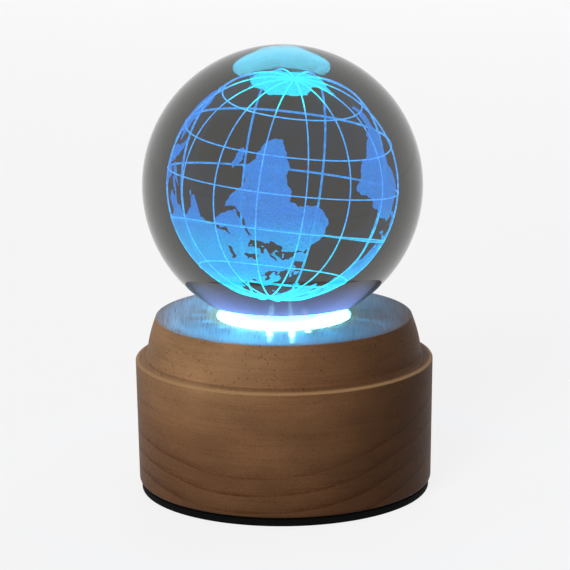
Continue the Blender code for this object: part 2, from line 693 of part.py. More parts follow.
def build_wood_base():
    """The turned base, milled at the back and drilled for its screws."""
    beech = principled("beech", (0.30, 0.16, 0.08), 0.55)
    base = turned("wood_base", wood_outside() + wood_inside(), beech, WOOD_SEGMENTS, closed=True)

    recess = rounded_loop(PLATE_WIDTH + 2 * GAP, PLATE_HEIGHT + 2 * GAP, PLATE_CORNER + GAP)
    recess_ends = (RECESS_FLOOR_Y, SHOULDER_RADIUS + OVERRUN)
    recess_cutter = loft("plate_recess_cutter", [across_y(recess, 0, y, PORT_Z) for y in recess_ends], None)
    opening = rounded_loop(OPENING_WIDTH, OPENING_HEIGHT, SPIGOT_CORNER + GAP)
    inner_y = math.sqrt(CAVITY_RADIUS ** 2 - (OPENING_WIDTH / 2) ** 2) - OVERRUN
    opening_ends = (inner_y, RECESS_FLOOR_Y + OVERRUN)
    opening_cutter = loft("wall_opening_cutter", [across_y(opening, 0, y, PORT_Z) for y in opening_ends], None)
    cut(base, recess_cutter, opening_cutter)

    for number, degrees in enumerate(LED_SCREW_ANGLES, 1):
        x, y = on_circle(LED_SCREW_CIRCLE, degrees)
        cut(base, rod_cutter(f"led_pilot_cutter_{number}", SCREW_SHANK_RADIUS + GAP, x, y,
                             ROOF_Z - OVERRUN, ROOF_Z + LED_SCREW_BITE + GAP))
    for number, degrees in enumerate(COVER_SCREW_ANGLES, 1):
        x, y = on_circle(COVER_SCREW_CIRCLE, degrees)
        cut(base, rod_cutter(f"cover_pilot_cutter_{number}", COVER_SCREW_SHANK_RADIUS + GAP, x, y,
                             RABBET_TOP_Z - OVERRUN, RABBET_TOP_Z + COVER_SCREW_BITE + GAP))
    return base


# Light unit under the ball

def build_window():
    """The milky window, with the dish that the ball sits in."""
    dish = arc(0, BALL_Z, DISH_RADIUS, -90.0,
               -math.degrees(math.acos(SEAT_MOUTH_RADIUS / DISH_RADIUS)), DISH_STEPS)
    dish[0] = (0, BALL_Z - DISH_RADIUS)
    rim = [(WINDOW_RADIUS - WINDOW_EDGE_BEVEL, TOP_Z), (WINDOW_RADIUS, TOP_Z - WINDOW_EDGE_BEVEL),
           (WINDOW_RADIUS, WINDOW_BOTTOM_Z), (0, WINDOW_BOTTOM_Z)]
    milky = principled("milky_acrylic", (0.70, 0.95, 1.0), 0.35, emission=1.0)
    return turned("light_window", dish + rim, milky, WINDOW_SEGMENTS)


def build_reflector_cup():
    """The white cup that lines the shaft, with the flange that the light board clamps to the roof."""
    inside = []
    for step in range(CUP_STEPS + 1):
        share = step / CUP_STEPS
        radius = CUP_THROAT_RADIUS + (CUP_MOUTH_RADIUS - CUP_THROAT_RADIUS) * math.sqrt(share)
        inside.append((radius, FLANGE_BOTTOM_Z + (POCKET_FLOOR_Z - FLANGE_BOTTOM_Z) * share))
    outside = [(CUP_OUTER_RADIUS, POCKET_FLOOR_Z), (CUP_OUTER_RADIUS, FLANGE_TOP_Z),
               (CUP_FLANGE_RADIUS, FLANGE_TOP_Z), (CUP_FLANGE_RADIUS, FLANGE_BOTTOM_Z)]
    white = principled("white_abs", (0.85, 0.85, 0.84), 0.35)
    cup = turned("reflector_cup", inside + outside, white, closed=True)
    drill_led_screw_holes(cup, "cup", FLANGE_BOTTOM_Z, FLANGE_TOP_Z)
    return cup


def drill_led_screw_holes(target, label, bottom_z, top_z):
    """Drill the clearance holes of the light board's three screws."""
    for number, degrees in enumerate(LED_SCREW_ANGLES, 1):
        x, y = on_circle(LED_SCREW_CIRCLE, degrees)
        cut(target, rod_cutter(f"{label}_hole_cutter_{number}", SCREW_SHANK_RADIUS + GAP, x, y,
                               bottom_z - OVERRUN, top_z + OVERRUN))


def build_led_board():
    """The round light board."""
    outline = [(0, LED_BOARD_BOTTOM_Z), (LED_BOARD_RADIUS, LED_BOARD_BOTTOM_Z),
               (LED_BOARD_RADIUS, LED_BOARD_TOP_Z), (0, LED_BOARD_TOP_Z)]
    board = turned("led_board", outline, principled("white_solder_mask", (0.75, 0.76, 0.74), 0.4))
    drill_led_screw_holes(board, "led_board", LED_BOARD_BOTTOM_Z, LED_BOARD_TOP_Z)
    return board


def build_leds():
    """The ring of lights, each with a round lens sunk in its top."""
    lens_loop = arc(0, 0, LED_LENS_RADIUS, 0.0, 360.0, 4 * (CORNER_STEPS + 1))[:-1]
    for number in range(1, LED_COUNT + 1):
        degrees = 360.0 * number / LED_COUNT
        x, y = on_circle(LED_RING_RADIUS, degrees)
        body = rounded_loop(LED_DEPTH, LED_WIDTH, LED_LENS_DEPTH)
        sections = [across_z(body, 0, 0, 0), across_z(body, 0, 0, LED_HEIGHT),
                    across_z(lens_loop, 0, 0, LED_HEIGHT),
                    across_z(lens_loop, 0, 0, LED_HEIGHT - LED_LENS_DEPTH)]
        finish = principled(f"led_lens_{number}", (0.85, 0.80, 0.45), 0.3)
        place(loft(f"led_{number}", sections, finish), x, y, LED_BOARD_TOP_Z + GAP, degrees)


def build_led_resistors():
    """The row of resistors on the light board's underside."""
    for number in range(1, RESISTOR_COUNT + 1):
        x = (number - (RESISTOR_COUNT + 1) / 2) * RESISTOR_PITCH
        top_z = LED_BOARD_BOTTOM_Z - GAP
        loop = box_loop(RESISTOR_LENGTH, RESISTOR_WIDTH)
        loft(f"led_resistor_{number}",
             [across_z(loop, x, RESISTOR_ROW_Y, z) for z in (top_z - RESISTOR_HEIGHT, top_z)],
             principled(f"resistor_body_{number}", (0.02, 0.02, 0.02), 0.5))


# Screws

def pan_screw(name, length, finish):
    """A small screw that points up: a domed head under the origin and its shank above it."""
    dome = arc(0, 0, 1.0, -90.0, 0.0, ARC_STEPS)
    outline = [(share_r * SCREW_HEAD_RADIUS, share_z * SCREW_HEAD_HEIGHT) for share_r, share_z in dome]
    outline[0] = (0, -SCREW_HEAD_HEIGHT)
    outline += [(SCREW_SHANK_RADIUS, 0), (SCREW_SHANK_RADIUS, length - SCREW_TIP_LENGTH), (0, length)]
    return turned(name, outline, finish, SMALL_SEGMENTS)


def build_led_board_screws():
    """Three screws that hold the light board and the cup to the roof."""
    length = ROOF_Z + LED_SCREW_BITE - LED_BOARD_BOTTOM_Z + GAP
    for number, degrees in enumerate(LED_SCREW_ANGLES, 1):
        x, y = on_circle(LED_SCREW_CIRCLE, degrees)
        screw = pan_screw(f"led_board_screw_{number}", length, zinc(f"zinc_screw_led_{number}"))
        place(screw, x, y, LED_BOARD_BOTTOM_Z - GAP)


def build_board_screws():
    """Two screws, head up, that hold the main board on the cover's posts."""
    length = BOARD_THICKNESS + BOARD_SCREW_BITE + GAP
    for number, side in enumerate((-1, 1), 1):
        screw = pan_screw(f"board_screw_{number}", length, zinc(f"zinc_screw_board_{number}"))
        screw.location = (side * POST_X, POST_Y, BOARD_TOP_Z + GAP)
        screw.rotation_euler = (math.pi, 0.0, 0.0)


def build_cover_screws():
    """Three countersunk screws that hold the cover in its rabbet."""
    head_z = WOOD_BOTTOM_Z + GAP
    tip_z = RABBET_TOP_Z + COVER_SCREW_BITE
    for number, degrees in enumerate(COVER_SCREW_ANGLES, 1):
        x, y = on_circle(COVER_SCREW_CIRCLE, degrees)
        outline = [(0, head_z), (COVER_SCREW_HEAD_RADIUS, head_z),
                   (COVER_SCREW_SHANK_RADIUS, head_z + COVER_SCREW_HEAD_HEIGHT),
                   (COVER_SCREW_SHANK_RADIUS, tip_z - SCREW_TIP_LENGTH), (0, tip_z)]
        screw = turned(f"cover_screw_{number}", outline, zinc(f"zinc_screw_cover_{number}"), SMALL_SEGMENTS)
        place(screw, x, y, 0)


def zinc(name):
    """Bright zinc plate, one material for each screw."""
    return principled(name, (0.55, 0.55, 0.54), 0.3, metallic=1.0)


# Cover and pad

def build_foot_pad():
    """The anti-slip pad that the lamp stands on."""
    bevel = COVER_EDGE_BEVEL
    outline = [(0, 0), (PAD_RADIUS - bevel, 0), (PAD_RADIUS, bevel), (PAD_RADIUS, PAD_HEIGHT),
               (0, PAD_HEIGHT)]
    foam = principled("black_rubber_foam", (0.012, 0.012, 0.013), 0.85)
    return turned("foot_pad", outline, foam, WOOD_SEGMENTS)


def build_bottom_cover():
    """The moulded cover with its two board posts and the ribs that keep the battery in place."""
    outline = [(0, WOOD_BOTTOM_Z), (COVER_RADIUS - COVER_EDGE_BEVEL, WOOD_BOTTOM_Z),
               (COVER_RADIUS, WOOD_BOTTOM_Z + COVER_EDGE_BEVEL), (COVER_RADIUS, COVER_TOP_Z),
               (0, COVER_TOP_Z)]
    cover = turned("bottom_cover", outline, principled("black_abs_cover", (0.02, 0.02, 0.022), 0.45))
    post_top_z = BOARD_BOTTOM_Z - GAP
    for number, side in enumerate((-1, 1), 1):
        post = rod_cutter(f"post_shape_{number}", POST_RADIUS, side * POST_X, POST_Y,
                          COVER_TOP_Z - OVERRUN, post_top_z)
        combine(cover, post, "UNION")
    for number, side in enumerate((-1, 1), 1):
        rib_y = BATTERY_CENTRE_Y + side * (BATTERY_LENGTH / 2 + GAP + RIB_THICKNESS / 2)
        loop = box_loop(BATTERY_WIDTH / 2, RIB_THICKNESS)
        ends = (COVER_TOP_Z - OVERRUN, COVER_TOP_Z + RIB_HEIGHT)
        rib = loft(f"rib_shape_{number}", [across_z(loop, 0, rib_y, z) for z in ends], None)
        combine(cover, rib, "UNION")
    for number, side in enumerate((-1, 1), 1):
        cut(cover, rod_cutter(f"post_pilot_cutter_{number}", SCREW_SHANK_RADIUS + GAP, side * POST_X, POST_Y,
                              BOARD_BOTTOM_Z - BOARD_SCREW_BITE - 2 * GAP, post_top_z + OVERRUN))
    for number, degrees in enumerate(COVER_SCREW_ANGLES, 1):
        cut(cover, countersink_cutter(number, *on_circle(COVER_SCREW_CIRCLE, degrees)))
    return cover


def countersink_cutter(number, x, y):
    """The countersunk hole of one cover screw."""
    head_z = WOOD_BOTTOM_Z + GAP
    wide = COVER_SCREW_HEAD_RADIUS + GAP
    narrow = COVER_SCREW_SHANK_RADIUS + GAP
    outline = [(0, WOOD_BOTTOM_Z - OVERRUN), (wide, WOOD_BOTTOM_Z - OVERRUN), (wide, head_z),
               (narrow, head_z + COVER_SCREW_HEAD_HEIGHT), (narrow, COVER_TOP_Z + OVERRUN),
               (0, COVER_TOP_Z + OVERRUN)]
    made = turned(f"countersink_cutter_{number}", outline, None, SMALL_SEGMENTS)
    return place(made, x, y, 0, 180.0 / SMALL_SEGMENTS)


# Battery

def build_battery():
    """The flat pouch cell on its foam pad."""
    pad_loop = box_loop(BATTERY_WIDTH - 2 * BATTERY_PAD_MARGIN, BATTERY_LENGTH - 2 * BATTERY_PAD_MARGIN)
    pad_levels = (BATTERY_PAD_Z, BATTERY_PAD_Z + BATTERY_PAD_THICKNESS)
    loft("battery_pad", [across_z(pad_loop, 0, BATTERY_CENTRE_Y, z) for z in pad_levels],
         principled("grey_foam", (0.12, 0.12, 0.12), 0.9))
    side = rounded_loop(BATTERY_WIDTH, BATTERY_THICKNESS, BATTERY_CORNER)
    centre_z = BATTERY_Z + BATTERY_THICKNESS / 2
    ends = (BATTERY_CENTRE_Y - BATTERY_LENGTH / 2, BATTERY_CENTRE_Y + BATTERY_LENGTH / 2)
    loft("battery_cell", [across_y(side, 0, y, centre_z) for y in ends],
         principled("pouch_foil", (0.55, 0.56, 0.58), 0.3, metallic=0.8))


# Main board and what sits on it

def main_board_outline():
    """The D of the board, with its stepped tab at the back, anticlockwise from the front left."""
    front_x = math.sqrt(BOARD_RADIUS ** 2 - BOARD_FRONT_Y ** 2)
    front_degrees = math.degrees(math.atan2(BOARD_FRONT_Y, front_x))
    tab_degrees = math.degrees(math.acos(TAB_HALF_WIDTH / BOARD_RADIUS))
    right = arc(0, 0, BOARD_RADIUS, front_degrees, tab_degrees, 2 * DISH_STEPS)
    left = [(-x, y) for x, y in reversed(right)]
    tab = [(TAB_HALF_WIDTH, TAB_SHORT_Y), (TAB_STEP_X, TAB_SHORT_Y),
           (TAB_STEP_X, TAB_END_Y), (-TAB_HALF_WIDTH, TAB_END_Y)]
    return right + tab + left


def build_main_board():
    """The main board, on the two posts, with its tab in the wall's opening."""
    outline = main_board_outline()
    board = loft("main_board", [across_z(outline, 0, 0, z) for z in (BOARD_BOTTOM_Z, BOARD_TOP_Z)],
                 principled("green_solder_mask", (0.01, 0.13, 0.05), 0.4))
    for number, side in enumerate((-1, 1), 1):
        cut(board, rod_cutter(f"board_hole_cutter_{number}", SCREW_SHANK_RADIUS + GAP, side * POST_X, POST_Y,
                              BOARD_BOTTOM_Z - OVERRUN, BOARD_TOP_Z + OVERRUN))
    return board


def board_place(shares):
    """The x and y on the main board that a pair of shares gives."""
    across, along = shares
    return across * BOARD_RADIUS, along * BOARD_RADIUS


def build_chip(name, x, y):
    """A small moulded chip with a chamfered top."""
    low = box_loop(CHIP_WIDTH, CHIP_DEPTH)
    top = box_loop(CHIP_WIDTH - 2 * CHIP_BEVEL, CHIP_DEPTH - 2 * CHIP_BEVEL)
    sections = [across_z(low, x, y, PART_Z), across_z(low, x, y, PART_Z + CHIP_HEIGHT - CHIP_BEVEL),
                across_z(top, x, y, PART_Z + CHIP_HEIGHT)]
    loft(name, sections, principled(name + "_epoxy", (0.015, 0.015, 0.016), 0.5))


def build_board_parts():
    """The chips, the coil and the two can capacitors."""
    build_chip("charge_chip", *board_place(CHARGE_CHIP_SHARES))
    build_chip("driver_chip", *board_place(DRIVER_CHIP_SHARES))
    loop = rounded_loop(COIL_SIZE, COIL_SIZE, COIL_CORNER)
    coil_x, coil_y = board_place(COIL_SHARES)
    loft("power_coil", [across_z(loop, coil_x, coil_y, z) for z in (PART_Z, PART_Z + COIL_HEIGHT)],
         principled("ferrite", (0.04, 0.04, 0.042), 0.6))
    for number, shares in enumerate(CAPACITOR_PLACE_SHARES, 1):
        outline = [(0, 0), (CAPACITOR_RADIUS, 0), (CAPACITOR_RADIUS, CAPACITOR_HEIGHT - CAPACITOR_CRIMP),
                   (CAPACITOR_RADIUS - CAPACITOR_CRIMP, CAPACITOR_HEIGHT), (0, CAPACITOR_HEIGHT)]
        aluminium = principled(f"capacitor_can_{number}", (0.6, 0.6, 0.62), 0.3, metallic=0.9)
        can = turned(f"capacitor_{number}", outline, aluminium, SMALL_SEGMENTS)
        place(can, *board_place(shares), PART_Z)


def header_mouth_y():
    """Where the battery header's mouth looks out, at the board's front edge."""
    return BOARD_FRONT_Y + HEADER_SETBACK


def build_battery_connector():
    """The header on the board and the plug that is pushed into it."""
    centre_z = PART_Z + HEADER_HEIGHT / 2
    mouth_y = header_mouth_y()
    floor_y = mouth_y + HEADER_DEPTH - HEADER_WALL
    outer = box_loop(HEADER_WIDTH, HEADER_HEIGHT)
    inner = box_loop(HEADER_WIDTH - 2 * HEADER_WALL, HEADER_HEIGHT - 2 * HEADER_WALL)
    sections = [across_y(outer, HEADER_X, mouth_y + HEADER_DEPTH, centre_z),
                across_y(outer, HEADER_X, mouth_y, centre_z), across_y(inner, HEADER_X, mouth_y, centre_z),
                across_y(inner, HEADER_X, floor_y, centre_z)]
    loft("battery_header", sections, principled("header_nylon", (0.75, 0.74, 0.68), 0.5))
    plug_width = HEADER_WIDTH - 2 * HEADER_WALL - 2 * GAP
    plug_height = HEADER_HEIGHT - 2 * HEADER_WALL - 2 * GAP
    plug = box_loop(plug_width, plug_height)
    plug_ends = (mouth_y - PLUG_PROUD, floor_y - GAP)
    loft("battery_plug", [across_y(plug, HEADER_X, y, centre_z) for y in plug_ends],
         principled("plug_nylon", (0.78, 0.77, 0.72), 0.5))


# Charging port

def build_port():
    """The port's stamped shell and the tongue in it."""
    outer = rounded_loop(SHELL_WIDTH, SHELL_HEIGHT, SHELL_CORNER)
    inner = rounded_loop(SHELL_WIDTH - 2 * SHELL_WALL, SHELL_HEIGHT - 2 * SHELL_WALL,
                         SHELL_CORNER - SHELL_WALL)
    ends = (SHELL_BACK_Y, SHELL_MOUTH_Y)
    sections = [across_y(outer, PORT_X, ends[0], PORT_Z), across_y(outer, PORT_X, ends[1], PORT_Z),
                across_y(inner, PORT_X, ends[1], PORT_Z), across_y(inner, PORT_X, ends[0], PORT_Z)]
    loft("port_shell", sections, principled("stamped_steel", (0.6, 0.6, 0.6), 0.25, metallic=1.0), closed=True)

    slack = 2 * (SHELL_WALL + GAP)
    base = rounded_loop(SHELL_WIDTH - slack, SHELL_HEIGHT - slack, SHELL_CORNER - SHELL_WALL - GAP)
    tongue = rounded_loop(TONGUE_WIDTH, TONGUE_THICKNESS, TONGUE_THICKNESS / 4)
    base_end_y = SHELL_BACK_Y + TONGUE_BASE_LENGTH
    sections = [across_y(base, PORT_X, SHELL_BACK_Y, PORT_Z), across_y(base, PORT_X, base_end_y, PORT_Z),
                across_y(tongue, PORT_X, base_end_y, PORT_Z),
                across_y(tongue, PORT_X, SHELL_MOUTH_Y - TONGUE_SETBACK, PORT_Z)]
    loft("port_tongue", sections, principled("port_polymer", (0.02, 0.02, 0.02), 0.4))


# Button, switch and rear plate

def build_button():
    """The button and the switch's plunger, parented to an empty on the line that they are pressed along."""
    press_axis = add_empty("button_press_axis", (BUTTON_X, PLATE_FACE_Y, PORT_Z))
    flange_radius = BUTTON_RADIUS + BUTTON_FLANGE_WIDTH
    back = BUTTON_BACK_Y - PLATE_FACE_Y
    flange_face = BUTTON_FLANGE_FACE_Y - PLATE_FACE_Y
    outline = [(0, back), (flange_radius, back), (flange_radius, flange_face), (BUTTON_RADIUS, flange_face),
               (BUTTON_RADIUS, BUTTON_PROUD - BUTTON_CROWN)]
    outline += [(BUTTON_RADIUS - BUTTON_CROWN, BUTTON_PROUD), (0, BUTTON_PROUD)]
    cap = turned("button_cap", outline, principled("black_abs_button", (0.03, 0.03, 0.032), 0.4),
                 SMALL_SEGMENTS, parent=press_axis)
    cap.rotation_euler = (-math.pi / 2, 0.0, 0.0)

    loop = rounded_loop(PLUNGER_WIDTH, PLUNGER_HEIGHT, CHIP_BEVEL)
    ends = (SWITCH_FACE_Y - PLUNGER_ENGAGEMENT, BUTTON_BACK_Y - GAP)
    loft("switch_plunger", [across_y(loop, 0, y - PLATE_FACE_Y, 0) for y in ends],
         principled("plunger_nylon", (0.5, 0.5, 0.48), 0.5), parent=press_axis)


def build_switch_body():
    """The switch's housing, with the pocket that the plunger is pressed into."""
    outer = box_loop(SWITCH_WIDTH, SWITCH_HEIGHT)
    pocket = box_loop(PLUNGER_WIDTH + 2 * GAP, PLUNGER_HEIGHT + 2 * GAP)
    pocket_floor_y = SWITCH_FACE_Y - PLUNGER_ENGAGEMENT - BUTTON_TRAVEL - GAP
    sections = [across_y(outer, BUTTON_X, SWITCH_FACE_Y - SWITCH_DEPTH, PORT_Z),
                across_y(outer, BUTTON_X, SWITCH_FACE_Y, PORT_Z),
                across_y(pocket, BUTTON_X, SWITCH_FACE_Y, PORT_Z),
                across_y(pocket, BUTTON_X, pocket_floor_y, PORT_Z)]
    loft("switch_body", sections, principled("switch_housing", (0.04, 0.04, 0.045), 0.4))


def build_rear_plate():
    """The rear plate, with its spigot in the wall's opening and its two cut-outs."""
    face = rounded_loop(PLATE_WIDTH - 2 * PLATE_EDGE_BEVEL, PLATE_HEIGHT - 2 * PLATE_EDGE_BEVEL,
                        PLATE_CORNER - PLATE_EDGE_BEVEL)
    edge = rounded_loop(PLATE_WIDTH, PLATE_HEIGHT, PLATE_CORNER)
    spigot = rounded_loop(SPIGOT_WIDTH, SPIGOT_HEIGHT, SPIGOT_CORNER)
    sections = [across_y(face, 0, PLATE_FACE_Y, PORT_Z),
                across_y(edge, 0, PLATE_FACE_Y - PLATE_EDGE_BEVEL, PORT_Z),
                across_y(edge, 0, PLATE_BACK_Y, PORT_Z), across_y(spigot, 0, PLATE_BACK_Y, PORT_Z),
                across_y(spigot, 0, SPIGOT_END_Y, PORT_Z)]
    plate = loft("rear_plate", sections, principled("black_abs_plate", (0.02, 0.02, 0.022), 0.5))

    slot = rounded_loop(SHELL_WIDTH + 2 * GAP, SHELL_HEIGHT + 2 * GAP, SHELL_CORNER + GAP)
    ends = (SPIGOT_END_Y - OVERRUN, PLATE_FACE_Y + OVERRUN)
    slot_cutter = loft("port_slot_cutter", [across_y(slot, PORT_X, y, PORT_Z) for y in ends], None)
    hole = arc(0, 0, BUTTON_RADIUS + GAP, 0.0, 360.0, SMALL_SEGMENTS)[:-1]
    hole_cutter = loft("button_hole_cutter", [across_y(hole, BUTTON_X, y, PORT_Z) for y in ends], None)
    cut(plate, slot_cutter, hole_cutter)
    return plate


# Leads

def smooth_route(points, steps=LEAD_STEPS):
    """Points on a smooth curve through the route's own points."""
    guides = [Vector(point) for point in points]
    guides = [2 * guides[0] - guides[1]] + guides + [2 * guides[-1] - guides[-2]]
    route = []
    for before, start, end, after in zip(guides, guides[1:], guides[2:], guides[3:]):
        for step in range(steps):
            t = step / steps
            route.append(0.5 * (2 * start + (end - before) * t
                                + (2 * before - 5 * start + 4 * end - after) * t ** 2
                                + (3 * start - before - 3 * end + after) * t ** 3))
    route.append(guides[-2])
    return route


def build_lead(name, points, colour):
    """A round insulated wire along a route."""
    curve = bpy.data.curves.new(name, "CURVE")
    curve.dimensions = "3D"
    curve.bevel_depth = LEAD_RADIUS
    curve.bevel_resolution = LEAD_BEVEL_RESOLUTION
    curve.use_fill_caps = True
    route = smooth_route(points)
    spline = curve.splines.new("POLY")
    spline.points.add(len(route) - 1)
    for point, position in zip(spline.points, route):
        point.co = (*position, 1.0)
    add_object(name, curve, principled(name + "_pvc", colour, 0.45))


def build_led_leads():
    """Four leads from the light board's underside down to the main board."""
    colours = {"common": (0.8, 0.8, 0.78), "red": (0.5, 0.01, 0.01),
               "green": (0.01, 0.25, 0.04), "blue": (0.01, 0.04, 0.4)}
    top_z = LED_BOARD_BOTTOM_Z - GAP
    foot_z = PART_Z
    for number, (label, colour) in enumerate(colours.items()):
        x = (number - (len(colours) - 1) / 2) * LED_LEAD_PITCH
        build_lead(f"led_lead_{label}",
                   [(x, LED_LEAD_TOP_Y, top_z), (x, LED_LEAD_TOP_Y, top_z - LED_LEAD_RUN),
                    (x, LED_LEAD_FOOT_Y, foot_z + LED_LEAD_RUN), (x, LED_LEAD_FOOT_Y, foot_z)], colour)


def build_battery_leads():
    """Two leads from the cell's front end, round the board's front edge, to the plug."""
    start_y = BATTERY_CENTRE_Y - BATTERY_LENGTH / 2 - GAP
    start_z = BATTERY_Z + BATTERY_THICKNESS - LEAD_RADIUS - GAP
    end_y = header_mouth_y() - PLUG_PROUD - GAP
    end_z = PART_Z + HEADER_HEIGHT / 2
    bow_y = start_y - BATTERY_LEAD_REACH
    for label, side, colour in (("red", -1, (0.5, 0.01, 0.01)), ("black", 1, (0.015, 0.015, 0.015))):
        x = HEADER_X + side * BATTERY_LEAD_PITCH / 2
        build_lead(f"battery_lead_{label}",
                   [(x, start_y, start_z), (x, start_y - BATTERY_LEAD_REACH / 2, start_z),
                    (x, bow_y, (start_z + end_z) / 2), (x, bow_y + BATTERY_LEAD_REACH / 2, end_z),
                    (x, end_y, end_z)], colour)


def main():
    """Build the whole lamp."""
    clear_scene()
    build_ball()
    build_wood_base()
    build_window()
    build_reflector_cup()
    build_led_board()
    build_leds()
    build_led_resistors()
    build_led_board_screws()
    build_foot_pad()
    build_bottom_cover()
    build_cover_screws()
    build_battery()
    build_main_board()
    build_board_screws()
    build_board_parts()
    build_battery_connector()
    build_port()
    build_button()
    build_switch_body()
    build_rear_plate()
    build_led_leads()
    build_battery_leads()


main()
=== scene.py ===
"""Crystal ball lamp, dressed: the polished ball with a globe engraved inside it, the turned beech base,
the lit opal window, the port and button at the back, the finish of every piece inside, and the stage.

Units are metres and +Z is up. The frame gives where each solid is, and the front is -Y.
"""

import json
import math
import random

import bmesh
import bpy
from bpy.props import FloatProperty, FloatVectorProperty, IntProperty, PointerProperty
from mathutils import Matrix, Vector
from mathutils.geometry import delaunay_2d_cdt


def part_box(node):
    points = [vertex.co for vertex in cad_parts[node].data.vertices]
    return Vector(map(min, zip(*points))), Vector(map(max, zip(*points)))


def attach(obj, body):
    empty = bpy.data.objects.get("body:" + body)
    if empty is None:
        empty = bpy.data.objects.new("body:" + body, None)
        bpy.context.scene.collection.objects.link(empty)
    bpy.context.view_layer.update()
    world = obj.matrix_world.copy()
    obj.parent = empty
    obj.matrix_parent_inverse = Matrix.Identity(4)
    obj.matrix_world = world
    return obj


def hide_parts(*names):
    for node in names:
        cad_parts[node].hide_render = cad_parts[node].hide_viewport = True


bl_info = {
    "name": "Crystal ball lamp",
    "version": (1, 0, 0),
    "blender": (4, 5, 0),
    "location": "3D View > Sidebar > Lamp",
    "description": "Dresses the crystal ball lamp: glass, engraving, wood, window, fittings and stage",
    "category": "Object",
}

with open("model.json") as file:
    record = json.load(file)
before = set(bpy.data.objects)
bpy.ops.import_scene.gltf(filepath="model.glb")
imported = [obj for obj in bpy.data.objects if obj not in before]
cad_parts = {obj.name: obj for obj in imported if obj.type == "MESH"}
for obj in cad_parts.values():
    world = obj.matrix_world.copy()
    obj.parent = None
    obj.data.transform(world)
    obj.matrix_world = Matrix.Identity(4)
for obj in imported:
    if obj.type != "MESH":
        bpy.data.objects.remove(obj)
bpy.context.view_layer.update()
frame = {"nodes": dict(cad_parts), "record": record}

MM = 0.001
SMOOTH_ANGLE = math.radians(35.0)
TURN_STEPS = 96
COAST_SEED = 7

# Landmasses of the engraved globe, as (longitude, latitude) in degrees, each a closed outline
AFRICA = [
    (-6, 35.8), (-2, 35.1), (3, 36.9), (10, 37.3), (11, 36.8), (10.2, 34.3), (11.2, 33.2), (15.2, 32.3),
    (19, 30.3), (20.1, 32.4), (23, 32.7), (25, 31.7), (29, 30.9), (31, 31.5), (32.5, 31.2), (32.6, 29.9),
    (35.5, 24.2), (37.2, 21), (37.3, 19), (39.5, 15.5), (42.5, 12.6), (43.3, 11.5), (45, 10.5),
    (51.2, 11.9), (50.8, 9.5), (48.5, 5.5), (46, 2.5), (42.5, -0.8), (40.2, -2.6), (38.9, -6),
    (40.5, -10.5), (40.6, -15), (37, -17.8), (34.8, -19.8), (35.4, -23.5), (32.7, -26), (32.5, -28.4),
    (30.5, -31.2), (27.5, -33.3), (25.7, -34), (20, -34.8), (18.4, -34.2), (18.2, -32), (16.6, -28.8),
    (15, -26.5), (14.4, -22.5), (11.9, -17.5), (13.7, -12), (12.2, -6), (9.2, -2.6), (9.6, 2), (9.2, 4.1),
    (6.2, 4.3), (4.4, 6.4), (1, 5.9), (-2, 4.8), (-4.5, 5.2), (-7.6, 4.4), (-11.4, 6.8), (-13.3, 9),
    (-16.7, 12.4), (-17.4, 14.7), (-16.3, 19), (-17, 21), (-14.6, 26.2), (-9.9, 29.6), (-9.6, 31.6),
    (-6.8, 34)]
